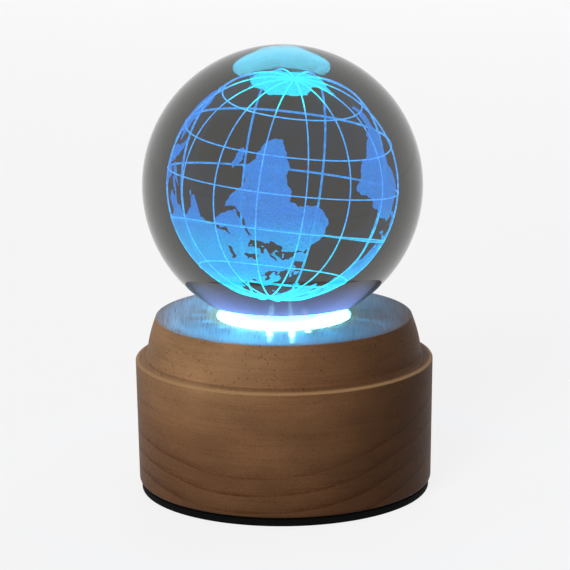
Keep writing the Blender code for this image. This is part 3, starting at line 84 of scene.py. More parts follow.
EUROPE_AND_ASIA = [
    (32.5, 31.2), (34.3, 31.3), (35.9, 35.6), (36.1, 36.7), (32.3, 36.1), (30.6, 36.8), (27.5, 36.8),
    (26.4, 39.3), (26.3, 40.6), (23.8, 40.4), (22.8, 40.4), (24, 37.8), (22.8, 36.5), (21.4, 37.6),
    (19.5, 40.5), (19.4, 41.8), (15.4, 44), (13.7, 45.6), (12.4, 45.2), (13.6, 43.5), (16.1, 41.8),
    (18.5, 40.1), (16.9, 40.4), (17, 39), (15.8, 38), (15.4, 40.1), (12.3, 41.7), (10.4, 43), (8.9, 44.4),
    (6.5, 43.2), (3.2, 43.1), (2.9, 41.7), (-0.3, 39.5), (-0.8, 37.7), (-2.2, 36.7), (-5.5, 36.1),
    (-6.6, 37), (-8.9, 37), (-9.4, 38.8), (-8.8, 41.5), (-9.2, 43.1), (-1.7, 43.4), (-1.2, 46),
    (-4.7, 48.2), (-1.6, 48.7), (-1.8, 49.7), (1.6, 50.6), (4.5, 52.4), (8.4, 53.8), (8.2, 55.8),
    (10.6, 57.7), (10, 54.7), (14, 54.2), (18.8, 54.5), (21.2, 56), (24.1, 57.2), (23.6, 59.2), (30, 59.9),
    (22.8, 60.1), (21.4, 61.5), (25.3, 65.1), (22, 65.4), (17.3, 61.5), (18.9, 59.8), (16.5, 57),
    (14.3, 55.5), (12.7, 55.6), (11.3, 58.8), (7.2, 58), (5, 60.5), (6, 62.5), (13.5, 66.5), (19, 70),
    (26, 71.1), (31, 70.2), (41.2, 67), (33.5, 66.6), (37, 64.2), (40.5, 64.7), (44, 66.2), (54, 68.4),
    (60.5, 69.5), (67.5, 68.7), (68.5, 72.8), (72.7, 72.7), (73.5, 68.5), (75, 72.8), (87, 75),
    (104.3, 77.6), (113, 74), (127, 73.3), (131, 71), (140, 72.7), (160, 69.8), (180, 69), (190, 66.1),
    (180, 64.9), (177.5, 62.5), (164, 59.8), (162.8, 57.2), (156.7, 51), (155.7, 56.5), (163, 61.8),
    (155, 59.4), (143, 59.3), (135.5, 54.8), (140.4, 52.5), (140.3, 48.5), (135, 43.4), (130, 42.3),
    (127.5, 39.6), (129.4, 36.5), (126.3, 34.5), (125, 39.5), (121.4, 39.2), (118, 39.1), (119.2, 37.2),
    (122.5, 37.2), (119.3, 35), (121.8, 31), (119.8, 26), (114, 22.4), (108.5, 21.7), (105.7, 18.9),
    (109.3, 13), (107, 10.5), (104.8, 8.6), (103.3, 10.7), (100.9, 13.3), (99.3, 9.5), (103.4, 4.5),
    (104.2, 1.4), (101.2, 2.9), (98.4, 8.2), (98.6, 13), (97.5, 16.4), (94.4, 16), (91.8, 22.3),
    (88.5, 21.7), (86.9, 20.5), (82.2, 16.6), (80.2, 15.5), (79.9, 10.4), (77.5, 8.1), (74.8, 13),
    (72.8, 19), (72.4, 21.3), (70.4, 20.9), (66.8, 24.9), (61.5, 25.1), (56.9, 27.1), (51.5, 27.9),
    (48.3, 30), (50.1, 26.7), (51.5, 24.6), (56.3, 26.1), (56.8, 24.2), (59.8, 22.5), (57.8, 19), (55, 17),
    (49, 14.4), (43.5, 12.8), (42.6, 16.5), (39.1, 21.2), (35.2, 28), (34.9, 29.4), (34.2, 27.9),
    (32.6, 29.9)]
SOUTH_AMERICA = [
    (-77.3, 8.4), (-74.8, 11), (-71.6, 12.3), (-68, 10.7), (-62, 10.5), (-57, 6), (-51.5, 4.4), (-50, 0.5),
    (-44, -2.7), (-39.8, -2.9), (-35.3, -5.4), (-34.9, -8), (-38.8, -13), (-39.2, -17.5), (-41.5, -22.3),
    (-46.5, -24.2), (-48.6, -27.5), (-52.5, -33), (-56.5, -34.8), (-57.6, -38.2), (-62.2, -39),
    (-65.2, -41), (-65.4, -45), (-65.8, -47.8), (-69, -50.8), (-65.4, -54.7), (-71, -54.6), (-75.4, -49),
    (-75.4, -46.6), (-72.8, -41.8), (-73.5, -37.2), (-71.5, -31), (-70.3, -18.4), (-76.2, -14),
    (-81.1, -6), (-80.8, -1), (-77.4, 3.9)]
NORTH_AMERICA = [
    (-77.6, 8.2), (-79.6, 9.5), (-83.6, 10.8), (-83.3, 15), (-88.4, 15.8), (-87, 21.4), (-90.3, 21),
    (-91.6, 18.5), (-95, 18.7), (-97.6, 22.5), (-97.2, 27), (-94, 29.5), (-89.5, 29.3), (-84.3, 30),
    (-81.8, 25.5), (-80.3, 25.5), (-81.3, 31), (-75.7, 35.4), (-74, 40.5), (-70.2, 41.8), (-66.8, 44.8),
    (-61.2, 45.4), (-64.8, 47.2), (-65, 49.2), (-60, 50.2), (-55.8, 52.3), (-61.5, 56.6), (-64.8, 60.2),
    (-69.8, 58.9), (-73.5, 62.3), (-78, 62.3), (-76.7, 57.3), (-79.7, 54.7), (-80, 51.3), (-82.5, 55.1),
    (-92.5, 57), (-94.6, 59), (-87, 64.5), (-81.5, 67.5), (-86, 69.5), (-95, 71.7), (-97, 68),
    (-115, 68.3), (-128, 70.2), (-141, 69.7), (-156.5, 71.3), (-166.4, 68.3), (-161.8, 66.4), (-168, 65.6),
    (-161, 64.4), (-165.3, 61.2), (-158, 58.6), (-163.5, 54.9), (-151.8, 59.2), (-146.5, 60.8),
    (-137, 58.5), (-130.5, 54.8), (-124.3, 47.8), (-124.2, 40.5), (-120.6, 34.6), (-117.2, 32.6),
    (-110, 23), (-112.8, 28), (-114.6, 31.6), (-109.4, 25.8), (-105.5, 20.4), (-96.5, 15.7), (-87.6, 13),
    (-85.7, 10.2), (-80.4, 7.4)]
AUSTRALIA = [
    (113.8, -22.3), (115.8, -32), (115.2, -34.3), (118.2, -34.9), (124, -33.2), (131.2, -31.5),
    (135.8, -34.8), (137.8, -33), (139.8, -37), (143.6, -38.7), (149.8, -37.6), (152.8, -31.5),
    (153.4, -27.5), (149.3, -21), (146, -18.7), (145.3, -15), (142.6, -10.8), (140.9, -17.4), (135.6, -15),
    (136.8, -12.2), (131, -12), (128.8, -14.9), (125.5, -14.3), (122.3, -18), (117, -20.6)]
ANTARCTICA = [
    (-178, -78.4), (-158, -77.2), (-135, -74.5), (-100, -73), (-75, -72.5), (-66, -67.5), (-57.8, -63.3),
    (-61, -70), (-62, -75.5), (-45, -78), (-28, -76.3), (-12, -71.5), (10, -70), (30, -69.5), (52, -66.3),
    (70, -69), (85, -66.8), (110, -66), (135, -66.2), (155, -69.2), (170, -71.8), (164, -77.5)]
GREENLAND = [
    (-73, 78.2), (-60, 82), (-32, 83.5), (-18, 80), (-22, 71), (-32, 68), (-40, 65), (-43.5, 60),
    (-50.5, 63), (-53.5, 67), (-55, 73), (-62, 76)]
ISLANDS = [
    [(49.3, -12), (50.4, -15.6), (47.2, -24.8), (45.2, -25.5), (43.5, -23), (44.3, -17)],
    [(-5.5, 50.1), (1.4, 51.2), (1.6, 52.8), (-1.8, 55.5), (-3.1, 58.5), (-5.6, 57), (-3, 53.6),
     (-5, 51.8)],
    [(-6.2, 52.2), (-10, 51.8), (-9.4, 54.1), (-6, 55.1)],
    [(-22.5, 64), (-18.5, 63.4), (-14, 65), (-16.5, 66.4), (-23.5, 66)],
    [(12.5, 37.8), (15.5, 38.2), (15.1, 36.7)],
    [(8.4, 39), (9.6, 39.2), (9.4, 42.6), (8.6, 42.2)],
    [(23.6, 35.3), (26.2, 35.2), (24.8, 34.9)],
    [(32.4, 34.9), (34.5, 35.6), (33.4, 34.6)],
    [(80, 9.6), (81.8, 7.3), (80.5, 6)],
    [(130.5, 31.3), (135.8, 33.6), (139.8, 35), (141.6, 41.2), (145.2, 43.4), (141.8, 45.4), (140, 40.3),
     (136.8, 37.1), (130.9, 34.2)],
    [(142, 46), (143.6, 49.3), (142.8, 54.2), (141.8, 51)],
    [(120.4, 18.4), (122.3, 18.2), (121.6, 14.2), (124, 12.7), (120.2, 15)],
    [(122.1, 7), (125.6, 6), (126.4, 8.4), (123.4, 8.8)],
    [(109.1, 1.8), (113.2, 3.6), (117, 7), (119.2, 5.2), (117.8, 1.2), (116, -4), (110.2, -2.9)],
    [(95.4, 5.6), (100.6, 2.2), (106, -3), (105.7, -5.9), (102, -4), (98.6, 1.6)],
    [(105.4, -6.7), (112.6, -6.9), (114.4, -8.6), (108, -7.8)],
    [(119.6, -5.4), (119, -2.9), (120.2, 0.9), (125, 1.5), (121, 0.3), (123.2, -1), (122.6, -4.6),
     (120.6, -3)],
    [(131, -0.8), (134.2, -0.9), (138, -1.7), (144.6, -3.9), (150.6, -10.5), (144, -7.8), (141, -9.1),
     (138, -8.2), (137, -5), (132.8, -4)],
    [(144.7, -40.8), (148.3, -41), (147, -43.6)],
    [(172.8, -34.6), (178.4, -37.8), (175.3, -41.5), (173.9, -39.3)],
    [(172.6, -40.7), (174.2, -41.8), (169, -46.6), (166.6, -45.8)],
    [(-84.8, 21.9), (-80, 23), (-74.3, 20.1), (-78, 20.6)],
    [(-74.4, 18.4), (-72.8, 19.9), (-68.4, 18.6), (-71.5, 17.8)],
    [(-62, 66.3), (-66, 62.6), (-74, 64.6), (-80, 69.8), (-88.5, 71), (-82, 73.6), (-70, 70.5)],
    [(-90, 76.5), (-78, 76.4), (-63, 82.5), (-90, 81.6)],
    [(-105, 69.2), (-116, 69.4), (-117, 72.6), (-106, 73)]]
INLAND_SEAS = [
    [(28.2, 42), (28.8, 44.2), (31, 46.5), (33.4, 45.8), (33.8, 44.5), (36.4, 45.2), (38.6, 46.6),
     (37.6, 44.8), (41.4, 42.3), (38.5, 41.1), (35, 42), (31.4, 41.3)],
    [(47.2, 44.6), (49.2, 46.2), (53, 46.7), (51.2, 44.4), (52.6, 41.8), (53.8, 37.1), (50.2, 37.4),
     (49.4, 40.4)]]
LANDMASSES = [AFRICA, EUROPE_AND_ASIA, SOUTH_AMERICA, NORTH_AMERICA, AUSTRALIA, ANTARCTICA, GREENLAND]
LANDMASSES += ISLANDS
PARALLELS = (-50.0, -23.4, 0.0, 23.4, 50.0)


# Properties

def linear(code):
    """Linear RGB of an sRGB hex colour."""
    shares = [int(code[start:start + 2], 16) / 255 for start in (1, 3, 5)]
    return tuple(share / 12.92 if share <= 0.04045 else ((share + 0.055) / 1.055) ** 2.4 for share in shares)


def length(name, description, default):
    """A size that a user may change."""
    return FloatProperty(name=name, description=description, default=default, unit="LENGTH", precision=5)


def colour(name, description, code):
    """A colour that a user may change, given in sRGB hex."""
    return FloatVectorProperty(name=name, description=description, default=linear(code), subtype="COLOR",
                               min=0.0, max=1.0)


class LampSizes(bpy.types.PropertyGroup):
    """Sizes that the frame's boxes don't give."""

    top_radius: length("Top radius", "Radius of the wood's top face", 0.0277)
    upper_foot_radius: length("Upper foot radius", "Radius where the upper tier meets the shoulder", 0.0296)
    wood_foot_radius: length("Foot radius", "Radius of the wood where it meets the pad", 0.0317)
    upper_tier_height: length("Upper tier height", "From the shoulder's top to the top face", 0.0086)
    shoulder_rise: length("Shoulder rise", "How far the shoulder climbs from its edge inwards", 0.0006)
    belly: length("Belly", "How far the upper tier swells between its ends", 0.0003)
    edge_round: length("Edge round", "Round of the top and shoulder edges", 0.0003)
    cove: length("Cove", "Round of the corner between the shoulder and the upper tier", 0.0005)
    foot_round: length("Foot round", "Round of the wood's lowest edge", 0.0008)
    cavity_radius: length("Cavity radius", "Radius of the bore that holds the boards and the cell", 0.0240)
    crown: length("Crown", "Thickness of the wood over the cavity", 0.0085)
    ledge: length("Window ledge", "Width of the ledge that carries the window", 0.0020)
    cover_thickness: length("Cover thickness", "Thickness of the cover in its rabbet", 0.0020)
    clearance: length("Clearance", "Gap between pieces that touch", 0.0003)
    seat_radius: length("Seat radius", "Radius of the dish's mouth in the window", 0.0106)
    globe_radius: length("Globe radius", "Radius of the globe engraved inside the ball", 0.0163)
    land_thickness: length("Land thickness", "Depth of the layer of fine cracks that makes the land", 0.00012)
    line_width: length("Line width", "Width of the engraved meridians and parallels", 0.00024)
    camera_distance: length("Camera distance", "How far the camera stands in front of the lamp", 0.600)
    camera_height: length("Camera height", "How high the camera stands over the floor", 0.1840)
    camera_side: length("Camera side", "How far the camera stands to the right of the lamp", 0.00032)
    camera_pitch: FloatProperty(name="Camera pitch", description="How far the camera looks down",
                                default=math.radians(13.1), unit="ROTATION")
    camera_roll: FloatProperty(name="Camera roll", description="How far the camera is turned about its view",
                               default=math.radians(-0.52), unit="ROTATION")
    facing_longitude: FloatProperty(name="Facing longitude", description="Longitude that faces the front",
                                    default=math.radians(14.0), unit="ROTATION")
    lean_right: FloatProperty(name="Lean right", description="How far the upper pole leans to the right",
                              default=math.radians(7.0), unit="ROTATION")
    lean_back: FloatProperty(name="Lean back", description="How far the upper pole leans to the back",
                             default=math.radians(4.9), unit="ROTATION")
    meridians: IntProperty(name="Meridians", description="How many full circles run through the poles",
                           default=6)


class LampColours(bpy.types.PropertyGroup):
    """Colours of the finishes."""

    # Light, middle and dark wood are partly the beech's own colour and partly painted light and shade: palest
    # where the light falls high on the left, in painted shade low on the right
    wood_painted_lit: colour("Light wood", "Beech at its palest, high on the left", "#9C7856")
    wood_middle: colour("Middle wood", "Beech round the middle", "#7B583D")
    wood_painted_shade: colour("Dark wood", "Beech at its darkest, low on the right", "#523723")
    wood_ring: colour("Growth rings", "What a growth ring leaves of the wood's colour", "#BE9A88")
    # The sanded edge colour is a painted highlight along the shoulder's edge
    wood_edge_highlight: colour("Sanded edge", "The turned edge of the shoulder, paled by sanding", "#B08A62")
    wood_pore: colour("Pores", "The vessel lines", "#3B2416")
    opal: colour("Opal", "Light of the window", "#45D2FF")
    spill: colour("Spill", "Light of the window that the ball throws back on the wood", "#1685FF")
    sheen: colour("Sheen", "Light of the wood's top as the ball's skin mirrors it", "#7F9FFF")
    streak: colour("Streak", "Light of the window that grazes the wood", "#5CBDFF")
    engraving: colour("Engraving", "Light of the engraving at mid height", "#50ABFF")
    engraving_ends: colour("Engraving ends", "Light of the engraving low down and at the top", "#2CECFF")
    plastic: colour("Black plastic", "The rear plate and the button", "#121315")
    foam: colour("Foam", "The pad under the lamp", "#0B0C0D")
    floor: colour("Floor", "The floor", "#646464")


# Mesh helpers

def mesh_from(name, edit):
    """Turn a bmesh into a mesh, and free it."""
    mesh = bpy.data.meshes.new(name)
    edit.to_mesh(mesh)
    edit.free()
    return mesh


def put(name, data):
    """Put an object with this mesh, light or camera into the scene."""
    made = bpy.data.objects.new(name, data)
    bpy.context.scene.collection.objects.link(made)
    return made


def finish_mesh(name, edit, material, body, replaced=()):
    """Close a bmesh into a smooth piece that rides on a body and may stand for solids."""
    bmesh.ops.recalc_face_normals(edit, faces=edit.faces)
    mesh = mesh_from(name, edit)
    mesh.shade_smooth()
    mesh.set_sharp_from_angle(angle=SMOOTH_ANGLE)
    piece = put(name, mesh)
    mesh.materials.append(material)
    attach(piece, body)
    if replaced:
        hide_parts(*replaced)
    return piece


def arc(centre_r, centre_z, radius, start, stop, steps):
    """Points of a circular arc in the (r, z) plane, angles in degrees, both ends included."""
    points = []
    for step in range(steps + 1):
        angle = math.radians(start + (stop - start) * step / steps)
        points.append((centre_r + radius * math.cos(angle), centre_z + radius * math.sin(angle)))
    return points


def skin(edit, first, second):
    """Join two loops of the same length, or a loop and a single point, with faces."""
    count = max(len(first), len(second))
    for step in range(count):
        after = (step + 1) % count
        corners = [first[step % len(first)], first[after % len(first)],
                   second[after % len(second)], second[step % len(second)]]
        edit.faces.new(list(dict.fromkeys(corners)))


def lathe(outline, segments, closed=False):
    """Turn an (r, z) outline about Z. An open one starts and ends on the axis."""
    edit = bmesh.new()
    rings = []
    for radius, height in outline:
        if radius == 0:
            rings.append([edit.verts.new((0, 0, height))])
            continue
        turns = [2 * math.pi * step / segments for step in range(segments)]
        ring = [(radius * math.cos(turn), radius * math.sin(turn), height) for turn in turns]
        rings.append([edit.verts.new(point) for point in ring])
    pairs = list(zip(rings, rings[1:]))
    if closed:
        pairs.append((rings[-1], rings[0]))
    for first, second in pairs:
        skin(edit, first, second)
    return edit


def rounded_loop(width, height, corner, steps=8):
    """Points of a rounded rectangle about the origin, anticlockwise."""
    points = []
    for side, up, start in ((1, 1, 0.0), (-1, 1, 90.0), (-1, -1, 180.0), (1, -1, 270.0)):
        centre = (side * (width / 2 - corner), up * (height / 2 - corner))
        points += arc(*centre, corner, start, start + 90.0, steps)
    return points


def loft(sections, closed=False):
    """Skin a row of loops with the same number of points, capped at both ends unless closed."""
    edit = bmesh.new()
    loops = [[edit.verts.new(point) for point in section] for section in sections]
    pairs = list(zip(loops, loops[1:]))
    if closed:
        pairs.append((loops[-1], loops[0]))
    for first, second in pairs:
        skin(edit, first, second)
    if not closed:
        edit.faces.new(loops[0])
        edit.faces.new(loops[-1])
    return edit


def across_y(loop, x, y, z):
    """Stand a loop up in the plane of a given y."""
    return [(x + across, y, z + up) for across, up in loop]


def cut_away(piece, edit):
    """Cut a shape out of a piece for good."""
    bmesh.ops.recalc_face_normals(edit, faces=edit.faces)
    cutter = put("cutter", mesh_from("cutter", edit))
    modifier = piece.modifiers.new("cut", "BOOLEAN")
    modifier.operation = "DIFFERENCE"
    modifier.object = cutter
    bpy.context.view_layer.update()
    shape = bpy.data.meshes.new_from_object(piece.evaluated_get(bpy.context.evaluated_depsgraph_get()))
    piece.modifiers.clear()
    old = piece.data
    piece.data = shape
    bpy.data.meshes.remove(old)
    bpy.data.objects.remove(cutter)
    shape.shade_smooth()
    shape.set_sharp_from_angle(angle=SMOOTH_ANGLE)


def bore(piece, loop, middle, ends):
    """Cut a hole with a given outline along Y, from one end to the other."""
    cut_away(piece, loft([across_y(loop, middle.x, y, middle.z) for y in ends]))


def box_size(node):
    """A node's middle and its size along X, Y and Z."""
    low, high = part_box(node)
    return (low + high) / 2, high - low


# Material helpers

def plug(node, owner, inputs):
    """Give inputs, by name or in their order, a value or another node's output."""
    pairs = inputs.items() if isinstance(inputs, dict) else enumerate(inputs)
    for key, value in pairs:
        if isinstance(value, bpy.types.NodeSocket):
            owner.node_tree.links.new(value, node.inputs[key])
        else:
            node.inputs[key].default_value = value


def add(owner, kind, inputs=(), out=0, stops=(), **settings):
    """Add a shader node with its settings and links, and return one of its outputs."""
    node = owner.node_tree.nodes.new("ShaderNode" + kind)
    for name, value in settings.items():
        setattr(node, name, value)
    for number, (position, tint) in enumerate(stops):
        ramp = node.color_ramp.elements
        stop = ramp[number] if number < len(ramp) else ramp.new(position)
        stop.position = position
        stop.color = opaque(tint)
    plug(node, owner, inputs)
    return node.outputs[out]


def new_material(name):
    """A material with its Principled shader."""
    made = bpy.data.materials.new(name)
    made.use_nodes = True
    return made, made.node_tree.nodes["Principled BSDF"]


def greys(stops):
    """Neutral stops of a colour ramp, from (position, value) pairs."""
    return [(position, (value, value, value)) for position, value in stops]


def darker(tint, share):
    """A share of a colour."""
    return [part * share for part in tint]


def opaque(tint):
    """A colour as a shader takes it."""
    return (*tint, 1.0)


def distance(owner, place, axes):
    """How far a place is from the origin, measured along some axes only."""
    flat = add(owner, "VectorMath", (place, axes), operation="MULTIPLY")
    return add(owner, "VectorMath", (flat,), out="Value", operation="LENGTH")


def pattern(owner, size, stretch=(1, 1, 1), detail=2.0, kind="TexNoise", out=0):
    """Noise or cells of a real size in metres, drawn out along each axis by stretch."""
    place = add(owner, "TexCoord", out="Object")
    scale = tuple(1 / (size * share) for share in stretch)
    inputs = {"Vector": add(owner, "Mapping", {"Vector": place, "Scale": scale}), "Scale": 1.0}
    if kind == "TexNoise":
        inputs["Detail"] = detail
    return add(owner, kind, inputs, out=out)


# Where most values of a noise pattern lie
NOISE = (0.3, 0.7)


def varied(owner, target, size, source=NOISE, **settings):
    """Noise of a real size, carried over from its own values to a range of values."""
    return add(owner, "MapRange", (pattern(owner, size, **settings), *source, *target))


# Stage

def build_stage(sizes, colours):
    """The floor, the world, the lamps and the camera."""
    bpy.context.scene.view_settings.view_transform = "Standard"
    build_floor(colours)
    build_world()
    build_soft_lamps()
    light_wood_top(colours)
    build_camera(sizes)


def seen_at_all(owner):
    """1 where the eye meets a surface, in a gloss and through glass too, and 0 where it only gives light."""
    seen = add(owner, "LightPath", out="Is Camera Ray")
    for ray in ("Is Glossy Ray", "Is Transmission Ray"):
        seen = add(owner, "Math", (seen, add(owner, "LightPath", out=ray)), operation="MAXIMUM")
    return seen


def painted_floor(colours):
    """Matt paint. Seen directly or in glass it is lifted towards white, and it keeps the lamp's shadow."""
    made, shader = new_material("painted_floor_matt")
    lift = add(made, "Math", (seen_at_all(made), FLOOR_LIFT), operation="MULTIPLY")
    tone = add(made, "Mix", {0: pattern(made, FLOOR_MOTTLE_SIZE), 6: opaque(colours.floor),
                             7: opaque(darker(colours.floor, FLOOR_MOTTLE))}, out=2, data_type="RGBA")
    plug(shader, made, {"Base Color": tone, "Roughness": 0.9, "Specular IOR Level": 0.1,
                        "Emission Color": opaque(linear("#FFFFFF")), "Emission Strength": lift})
    return made


def build_floor(colours):
    """The floor, a wide disc."""
    edit = bmesh.new()
    bmesh.ops.create_circle(edit, cap_ends=True, radius=FLOOR_RADIUS, segments=TURN_STEPS)
    mesh = mesh_from("floor", edit)
    mesh.materials.append(painted_floor(colours))
    floor = put("floor", mesh)


def build_world():
    """An even white world, which looks brighter than it shines."""
    world = bpy.data.worlds.new("studio")
    world.use_nodes = True
    bpy.context.scene.world = world
    strength = add(world, "MapRange", (seen_at_all(world), 0.0, 1.0, AMBIENT, BACKGROUND))
    plug(world.node_tree.nodes["Background"], world,
         {"Color": opaque(linear("#FFFFFF")), "Strength": strength})


def build_soft_lamps():
    """The soft lamps, which show in no gloss and no glass."""
    for name, (azimuth, elevation, distance_away, size, power) in LAMPS.items():
        light = bpy.data.lights.new(name, "AREA")
        light.shape = "DISK"
        light.size = size
        light.energy = power
        lamp = put(name, light)
        across = math.radians(azimuth)
        up = math.radians(elevation)
        aim = Vector((math.sin(across) * math.cos(up), -math.cos(across) * math.cos(up), math.sin(up)))
        lamp.location = Vector((0, 0, LAMP_AIM_Z)) + aim * distance_away
        lamp.rotation_euler = aim.to_track_quat("Z", "Y").to_euler()
        lamp.visible_glossy = False
        lamp.visible_transmission = False


def build_camera(sizes):
    """The camera, at the photo's angle."""
    view = bpy.data.cameras.new("photo_view")
    view.sensor_width = SENSOR_WIDTH
    view.lens = CAMERA_LENS
    camera = put("photo_view", view)
    camera.location = (sizes.camera_side, -sizes.camera_distance, sizes.camera_height)
    looking_down = Matrix.Rotation(math.pi / 2 - sizes.camera_pitch, 3, "X")
    camera.rotation_euler = (looking_down @ Matrix.Rotation(sizes.camera_roll, 3, "Z")).to_euler()
    bpy.context.scene.camera = camera


def light_wood_top(colours):
    """The window's light on the wood's top. It gets there by way of the ball, which the renderer can't
    follow, so small lamps that the eye doesn't see stand round the window."""
    top_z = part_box("wood_base")[1].z
    for ring, (radius, height, angle, count, power) in enumerate(SPILL_RINGS):
        for number in range(count):
            azimuth = 2 * math.pi * (number + ring / 2) / count
            facing = (1 + math.cos(azimuth - SPILL_AZIMUTH)) / 2
            share = SPILL_LEAST + (1 - SPILL_LEAST) * max(facing, 1 - facing) ** SPILL_POWER
            place = Vector((radius * math.sin(azimuth), -radius * math.cos(azimuth), top_z + height))
            tint = colours.streak if ring == 0 else colours.spill
            lamp = hidden_lamp(f"spill_{ring}_{number}", "SPOT", power * share, tint, place)
            lamp.data.spot_size = math.radians(angle)
            lamp.data.spot_blend = 1.0
            lamp.data.shadow_soft_size = SPILL_SOFTNESS
    window_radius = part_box("light_window")[1].x
    for number, (x, width, reach, power) in enumerate(STREAKS):
        place = Vector((x, -window_radius - reach / 2, top_z + STREAK_HEIGHT))
        lamp = hidden_lamp(f"streak_{number}", "AREA", power, colours.streak, place)
        lamp.data.shape = "RECTANGLE"
        lamp.data.size = width
        lamp.data.size_y = reach
        lamp.data.spread = STREAK_SPREAD


def hidden_lamp(name, kind, power, tint, place):
    """A lamp that shines straight down and isn't seen itself, in glass or in a gloss either."""
    light = bpy.data.lights.new(name, kind)
    light.energy = power
    light.color = tint
    lamp = put(name, light)
    lamp.location = place
    lamp.visible_camera = False
    lamp.visible_glossy = False
    lamp.visible_transmission = False
    return lamp


# Radius, height over the wood, cone in degrees, count and power of each ring of small lamps
SPILL_RINGS = (
    (15.4 * MM, 1.7 * MM, 140.0, 36, 0.0017),
    (18.0 * MM, 3.0 * MM, 130.0, 18, 0.009),
    (23.5 * MM, 5.5 * MM, 125.0, 24, 0.017),
)
SPILL_AZIMUTH = 0.0
SPILL_LEAST = 0.22
SPILL_POWER = 3
SPILL_SOFTNESS = 0.5 * MM
# Place along X, width, reach and power of each streak
STREAKS = (
    (-3.0 * MM, 1.0 * MM, 5.0 * MM, 0.0011), (-3.0 * MM, 0.3 * MM, 10.0 * MM, 0.0005),
    (1.7 * MM, 1.1 * MM, 6.0 * MM, 0.0013), (1.7 * MM, 0.3 * MM, 11.0 * MM, 0.0006),
    (5.1 * MM, 0.9 * MM, 2.5 * MM, 0.0005),
)
STREAK_HEIGHT = 0.9 * MM
STREAK_SPREAD = math.radians(70.0)
FLOOR_RADIUS = 8.0
FLOOR_MOTTLE_SIZE = 40 * MM
FLOOR_MOTTLE = 0.95
FLOOR_LIFT = 0.82
AMBIENT = 0.10
BACKGROUND = 0.95
LAMP_AIM_Z = 0.05
CAMERA_LENS = 180.8
SENSOR_WIDTH = 36.0
# Azimuth from the front towards +X, elevation, distance, diameter and power of each soft lamp
LAMPS = {
    "key_softbox": (-24.0, 22.0, 1.2, 0.7, 13.0),
    "fill_softbox": (52.0, 24.0, 1.5, 0.9, 1.4),
    "side_softbox": (128.0, 22.0, 1.6, 1.0, 6.0),
    "rear_softbox": (178.0, 20.0, 1.6, 1.0, 9.0),
}


# Crystal ball

def polished_crystal():
    """Optical crystal, ground and polished: mirror-smooth. Its grey tint and smoke are painted shade, which
    stand in for dark surroundings seen through clear crystal, so that it reads grey on a pale stage, at its
    thin rim too."""
    made, shader = new_material("k9_crystal_polished")
    plug(shader, made, {"Base Color": opaque(linear(CRYSTAL_SHADE_TINT)), "Roughness": 0.0, "IOR": 1.517,
                        "Transmission Weight": 1.0})
    smoke = add(made, "VolumeAbsorption", {"Color": opaque(linear("#000000")), "Density": CRYSTAL_SHADE_DENSITY},
                out="Volume")
    output = made.node_tree.nodes["Material Output"]
    made.node_tree.links.new(smoke, output.inputs["Volume"])
    return made


# Painted shade: the smoke and the grey tint that darken the clear crystal
CRYSTAL_SHADE_DENSITY = 16.0
CRYSTAL_SHADE_TINT = "#63625F"
BALL_SEGMENTS = 320


def build_ball():
    """The solid ball, smooth enough to refract cleanly."""
    middle, size = box_size("crystal_ball")
    radius = size.z / 2
    outline = arc(0, middle.z, radius, -90.0, 90.0, BALL_SEGMENTS // 2)
    outline[0] = (0, middle.z - radius)
    outline[-1] = (0, middle.z + radius)
    finish_mesh("ball_polished", lathe(outline, BALL_SEGMENTS), polished_crystal(), "ball",
                ["crystal_ball"])


# Engraved globe

def frosted_crystal(name, sizes, colours, strength, alpha, mottle_size):
    """Crystal engraved by laser: a layer of fine cracks that scatters the window's light, cyan near the
    window and again at the top, where the ball gathers it, and blue in between. The renderer can't bring the
    window's light here through the crystal, so the engraving shines by itself."""
    made, shader = new_material(name)
    middle, _ = box_size("crystal_ball")
    radius = sizes.globe_radius
    height = add(made, "SeparateXYZ", (add(made, "TexCoord", out="Object"),), out="Z")
    share = add(made, "MapRange", (height, middle.z - radius, middle.z + radius))
    ends = tuple(colours.engraving_ends)
    between = tuple(colours.engraving)
    midway = tuple((end + other) / 2 for end, other in zip(ends, between))
    tint = add(made, "ValToRGB", (share,),
               stops=[(0.0, ends), (0.05, ends), (0.13, midway), (0.24, midway), (0.42, between),
                      (0.92, between), (0.96, ends)])
    level = add(made, "ValToRGB", (share,), stops=greys(ENGRAVING_LEVELS))
    grain = varied(made, ENGRAVING_GRAIN, mottle_size, detail=1.0)
    light = add(made, "Math", (level, grain), operation="MULTIPLY")
    light = add(made, "Math", (light, strength), operation="MULTIPLY")
    plug(shader, made, {"Base Color": opaque(between), "Roughness": 0.7, "Specular IOR Level": 0.0,
                        "Alpha": alpha, "Emission Color": tint, "Emission Strength": light})
    return made


# Brightness of the engraving from its lowest point to its highest, and how much its grain varies
ENGRAVING_LEVELS = ((0.0, 0.75), (0.06, 0.6), (0.13, 0.48), (0.24, 0.50), (0.45, 0.40), (0.90, 0.40),
                    (0.96, 0.75))
ENGRAVING_GRAIN = (0.6, 1.4)


def globe_point(longitude, latitude):
    """Unit vector of a place, with the north pole along +Z."""
    across = math.radians(longitude)
    up = math.radians(latitude)
    return Vector((math.cos(up) * math.cos(across), math.cos(up) * math.sin(across), math.sin(up)))


def globe_turn(sizes):
    """The rotation that sets the globe as it is in the ball, south pole up."""
    upright = Matrix.Rotation(-math.pi / 2 - sizes.facing_longitude, 3, "Z")
    turned_over = Matrix.Rotation(math.pi, 3, "Y") @ upright
    return (Matrix.Rotation(sizes.lean_right, 3, "Y") @ Matrix.Rotation(-sizes.lean_back, 3, "X")
            @ turned_over)


def flatten(direction, basis):
    """Lay a unit vector flat round the basis' middle, at its true angle from it."""
    local = basis.transposed() @ direction
    side = Vector((local.x, local.y))
    if side.length == 0:
        return side
    return side.normalized() * math.acos(max(-1.0, min(1.0, local.z)))


def unflatten(flat, basis):
    """The unit vector that a flat point stands for."""
    angle = flat.length
    if angle == 0:
        return basis.col[2].copy()
    side = flat / angle * math.sin(angle)
    return basis @ Vector((side.x, side.y, math.cos(angle)))


